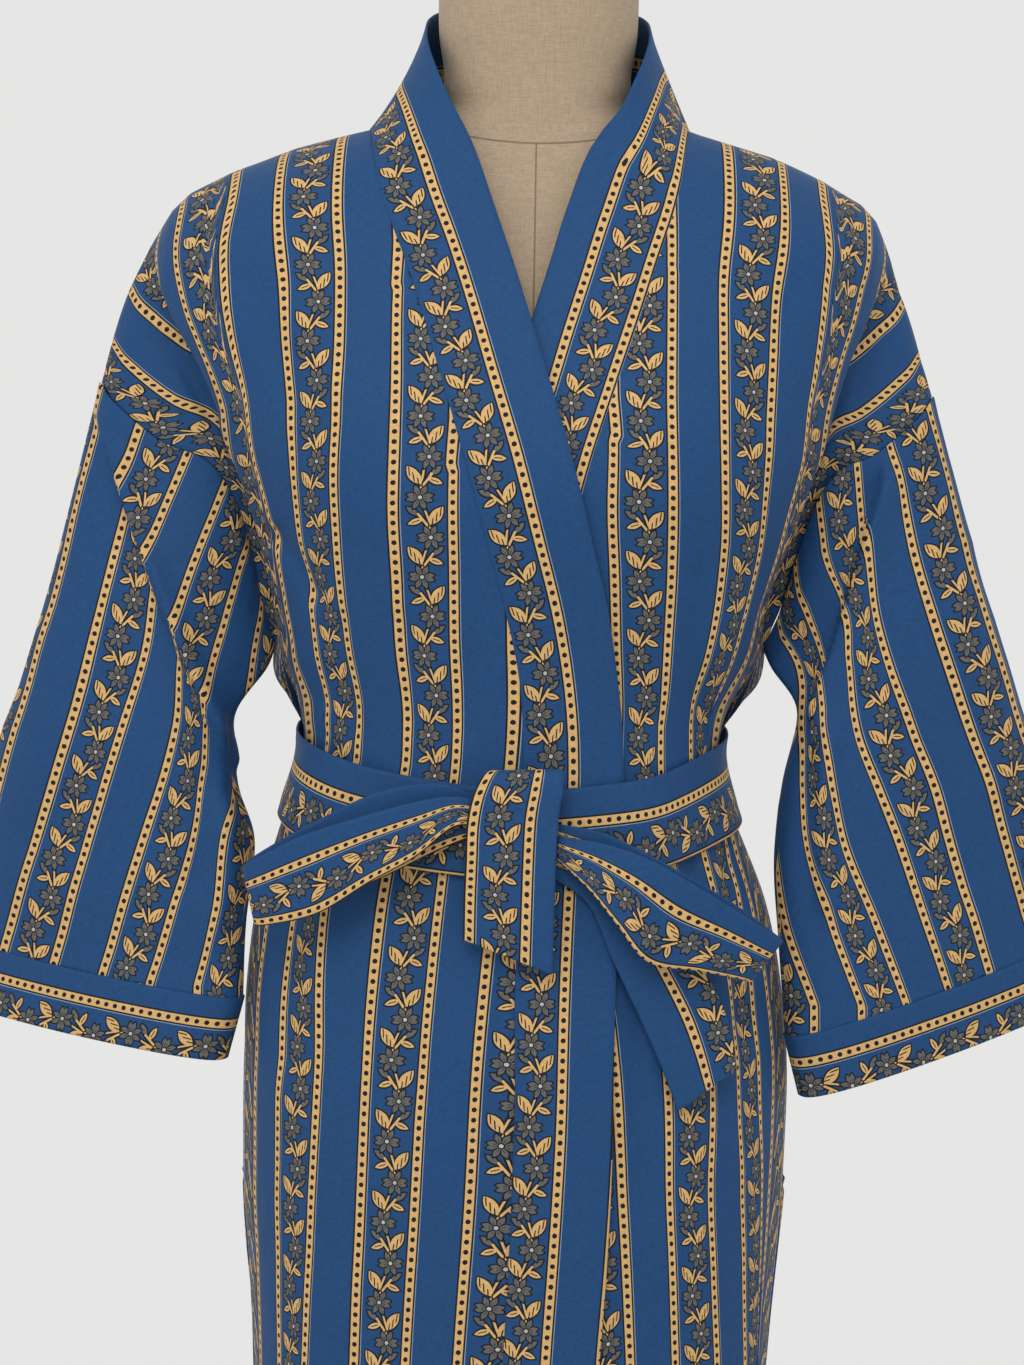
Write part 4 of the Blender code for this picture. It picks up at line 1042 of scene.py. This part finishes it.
def linen_material():
    """Beige linen: crossed yarns with slubs, from the place on the form."""
    made, shader, s = new_material("beige_linen")
    at = s.node("TexCoord", {})["Object"]
    yarns = ((160.0, 160.0, 1500.0), (1500.0, 900.0, 120.0))
    weave = s.plus(*(s.noise(s.vector("MULTIPLY", at, stretch), 1.0) for stretch in yarns))
    x, y, z = s.node("SeparateXYZ", {0: at})
    bow = s.math("MULTIPLY_ADD", s.both(x, x), NECK_SEAM_RISE, NECK_SEAM_HEIGHT)
    middle_seam = s.both(s.near(x, FRONT_SEAM_HALF), s.under(z, bow))
    seams = s.both(s.either(s.near(s.minus(z, bow), NECK_SEAM_HALF), middle_seam), s.under(y, 0.0))
    linen = s.mix(s.math("MULTIPLY_ADD", weave, 1.6, -1.1, clamp=True), LINEN_DARK, LINEN_LIGHT)
    s.fill(shader, {
        "Base Color": s.mix(s.both(seams, 0.65), linen, LINEN_SEAM),
        "Roughness": 0.9, "Specular IOR Level": 0.2, "Sheen Weight": 0.15,
        "Normal": s.bump(s.minus(weave, s.both(seams, 3.0)), 0.35, 0.0004),
    })
    return made


def round_solid(name, rings):
    """A solid of rings from one end to the other, closed by a flat face at each end."""
    rings = np.array(rings)
    index = np.arange(rings.shape[0] * rings.shape[1]).reshape(rings.shape[:2])
    quads = quads_of(np.concatenate([index, index[:, :1]], axis=1))
    faces = quads.tolist() + [index[0].tolist(), index[-1][::-1].tolist()]
    mesh = bpy.data.meshes.new(name)
    mesh.from_pydata((rings.reshape(-1, 3) * MM).tolist(), [], faces)
    return finished(name, mesh)


def form_rings():
    """Sections of the padded torso and neck."""
    turn = np.linspace(0, 2 * np.pi, 240, endpoint=False)
    sine, cosine = np.sin(turn), np.cos(turn)
    share = 2 / TORSO_POWER
    rings = []
    for z in np.concatenate([np.linspace(742, 775, 12), np.linspace(779, NECK_TOP, 180)]):
        half, front, back = row_at(TORSO, z)
        x = half * np.sign(sine) * np.abs(sine) ** share
        y = -np.where(cosine > 0, front, back) * np.sign(cosine) * np.abs(cosine) ** share
        rings.append(np.stack([x, y, np.full(len(turn), z)], axis=1))
    return rings


def knot_rings():
    """Sections of the knot, a flat block with rounded ends."""
    turn = np.linspace(0, 2 * np.pi, 72, endpoint=False)
    ring = np.stack([np.sin(turn) * KNOT_HALF[0], -np.cos(turn) * KNOT_HALF[1], np.zeros(len(turn))], axis=1)
    rings = []
    for level in np.sin(np.linspace(-1.45, 1.45, 30)):
        size = math.sqrt(max(1 - (abs(level) * 0.93) ** 2.6, 0.05))
        rings.append(KNOT_CENTRE + ring * size + [0, 0, -level * KNOT_HALF[2]])
    return rings


def dressed(piece, node, made_of):
    """The piece with its finish, standing for the node in the frame."""
    piece.data.materials.append(made_of)
    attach(piece, "root")
    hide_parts(node)
    return piece


def add_cloth(name, grid, print_map, thickness, **options):
    piece = shell(name + "_cloth", grid, print_map, thickness, **options)
    dressed(piece, name, cotton)


def add_body_and_neckband():
    over, over_print = fine_front(OVER_STRIPES, 1, OVERLAP_LIFT)
    under, under_print = fine_front(UNDER_STRIPES, 2, 0.0)
    back, back_print = fine_back()
    for name, grid, places, uneven in (
        ("front_right", over[:, ::-1], over_print[:, ::-1], 0.5),
        ("front_left", under * MIRROR, under_print * [-1, 1] + [-PITCH, 0], 0.4),
        ("back", back[:, ::-1], back_print[:, ::-1], 0.4),
    ):
        worn = creased(leaned(grid), BODY_CREASES, uneven=uneven)
        add_cloth(name, worn, places, CLOTH, across_top=DEPTH_AXIS)
    band, across, along = fine_band(over, back[0], 1, OVERLAP_LIFT + BAND_LIFT)
    across = across * RIGHT_BAND_SQUEEZE + RIGHT_BAND_PLACE + RIGHT_BAND_DRIFT * ease((along - 620) / 300)
    add_cloth("neckband_right", band, print_of(across, along), BAND_CLOTH, across_top=WIDTH_AXIS)
    band, across, along = fine_band(under, back[0], 2, BAND_LIFT)
    places = print_of(LEFT_BAND_PLACE - across, along)[:, ::-1]
    add_cloth("neckband_left", band[:, ::-1] * MIRROR, places, BAND_CLOTH, across_top=WIDTH_AXIS)


def add_sleeve(side, table, mirror, cuff_move):
    """A sleeve with its creases, and the cuff on its end."""
    rings, places, around = fine_sleeve(table, mirror)
    share = np.linspace(0, 1, FINE_SLEEVE_ROWS)[:, None]
    facing = np.sin(np.linspace(-np.pi, np.pi, FINE_SLEEVE_COLUMNS, endpoint=False))
    ends = ease(share * 12) * ease((1 - share) * 14)
    weight = np.where(facing > 0, 1.0, 0.5) * ease(np.abs(facing) * 2.5) * ends
    outward = rings[-1] - rings[-1].mean(axis=0)
    outward /= np.linalg.norm(outward, axis=1, keepdims=True)
    move = np.array(cuff_move) * [mirror, 1, 1]
    depth = np.linalg.norm(move)
    share = np.linspace(0, 1, FINE_CUFF_ROWS)[:, None]
    cuff = rings[-1] + outward * CUFF_LIFT + move / depth * GAP + move * share[..., None]
    cuff_places = print_of(share * depth - CUFF_PRINT, around)
    if mirror == -1:
        rings, weight, cuff = (np.roll(grid[:, ::-1], 1, axis=1) for grid in (rings, weight, cuff))
        places, cuff_places = places[:, ::-1], cuff_places[:, ::-1]
    worn = creased(rings, SLEEVE_CREASES[side], True, weight, 0.8, SLEEVE_OVERLAPS[side])
    add_cloth("sleeve_" + side, worn, places, CLOTH, ring=True)
    add_cloth("cuff_" + side, cuff, cuff_places, BAND_CLOTH, ring=True)


def add_belt_and_bow():
    belt = belt_surface()
    around = lengths_along(closed(belt[FINE_BELT_ROWS // 2]))
    places = print_of(np.linspace(-50, -2, FINE_BELT_ROWS)[:, None], around)
    add_cloth("belt", leaned(belt), places, BAND_CLOTH, ring=True)
    for name, table, low, high in BOW_PRINT:
        grid, along = ribbon(table)
        add_cloth(name, grid, print_of(np.linspace(low, high, FINE_BOW_COLUMNS), along), BAND_CLOTH)
    knot = round_solid("belt_knot_cloth", knot_rings())
    layer = knot.data.uv_layers.new(name="print")
    for loop in knot.data.loops:
        where = knot.data.vertices[loop.vertex_index].co
        layer.data[loop.index].uv = (where.z, where.x)
    dressed(knot, "belt_knot", cotton)


def add_form_and_stand():
    dressed(round_solid("form_torso_cover", form_rings()), "form_torso", linen_material())
    wood = plain_material("dark_wood", (0.06, 0.032, 0.02), 0.4, 60, 0.0002, coat=0.3)
    metal = plain_material("black_paint", (0.02, 0.02, 0.021), 0.42, 300, 0.0001, coat=0.2)
    for node, made_of in (("form_neck_cap", wood), ("stand_pole", metal), ("stand_base", metal)):
        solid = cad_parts[node]
        solid.data.materials.clear()
        solid.data.materials.append(made_of)


def add_camera():
    data = bpy.data.cameras.new("camera")
    camera = bpy.data.objects.new("camera", data)
    bpy.context.scene.collection.objects.link(camera)
    camera.location = (0.0, -CAMERA_DISTANCE * MM, CAMERA_HEIGHT * MM)
    camera.rotation_euler = (math.radians(90), math.radians(-CAMERA_ROLL), 0)
    data.sensor_fit = "HORIZONTAL"
    data.sensor_width = 36.0
    data.lens = 120.2
    data.shift_x = -0.0181
    data.shift_y = -0.1992
    bpy.context.scene.camera = camera


def add_studio():
    """Floor, background and lights."""
    bpy.ops.mesh.primitive_circle_add(vertices=96, radius=2.3, fill_type="NGON", location=(0, 0, -0.001))
    floor = bpy.context.object
    floor.name = "floor"
    floor.data.materials.append(plain_material("pale_floor", (0.62, 0.62, 0.61), 0.8, 900, 0.0001))
    world = bpy.data.worlds.new("studio")
    bpy.context.scene.world = world
    world.use_nodes = True
    world.node_tree.nodes["Background"].inputs["Color"].default_value = (0.79, 0.79, 0.785, 1)
    world.node_tree.nodes["Background"].inputs["Strength"].default_value = 1.0
    for name, energy, size, place, aim in LIGHTS:
        data = bpy.data.lights.new(name, "AREA")
        data.energy = energy
        data.size = size
        lamp = bpy.data.objects.new(name, data)
        bpy.context.scene.collection.objects.link(lamp)
        lamp.location = place
        x, y, z = np.array(aim) - np.array(place)
        lamp.rotation_euler = (math.atan2(math.hypot(x, y), -z), 0, math.atan2(y, x) - math.pi / 2)
    bpy.context.scene.view_settings.view_transform = "Standard"


# Where the print starts across the neckbands and cuffs, and on the bow the places of its one and other edge
RIGHT_BAND_PLACE = -27.0
RIGHT_BAND_DRIFT = 3.5
RIGHT_BAND_SQUEEZE = 0.965
LEFT_BAND_PLACE = 3.5
CUFF_PRINT = 15.0 + PITCH
BOW_PRINT = (
    ("bow_centre_tail", CENTRE_TAIL, -34.5, 15.0), ("bow_left_loop", LEFT_LOOP, -47.0, 2.5),
    ("bow_right_loop", RIGHT_LOOP, -48.0, -1.0), ("bow_right_tail", RIGHT_TAIL, -55.0, -11.0),
)

# Lights: name, watts, size, place and the point they aim at, in metres
LIGHTS = (("key", 24, 1.2, (-0.3, -2.2, 2.6), (0, 0, 1.1)), ("fill", 3, 2.0, (-1.8, -1.8, 1.4), (0, 0, 1.0)))

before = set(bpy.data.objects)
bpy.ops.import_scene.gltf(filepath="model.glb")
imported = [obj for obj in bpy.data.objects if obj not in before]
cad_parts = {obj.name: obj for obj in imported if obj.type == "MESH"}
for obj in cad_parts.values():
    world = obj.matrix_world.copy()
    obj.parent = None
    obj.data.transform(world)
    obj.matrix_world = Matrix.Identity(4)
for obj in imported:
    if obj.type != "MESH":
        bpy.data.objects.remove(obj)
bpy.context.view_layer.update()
cotton = printed_cotton("printed_cotton")
add_camera()
add_body_and_neckband()
add_sleeve("right", RIGHT_SLEEVE, -1, [9, 2, -35])
add_sleeve("left", LEFT_SLEEVE, 1, [9, 2, -34])
add_belt_and_bow()
add_form_and_stand()
add_studio()
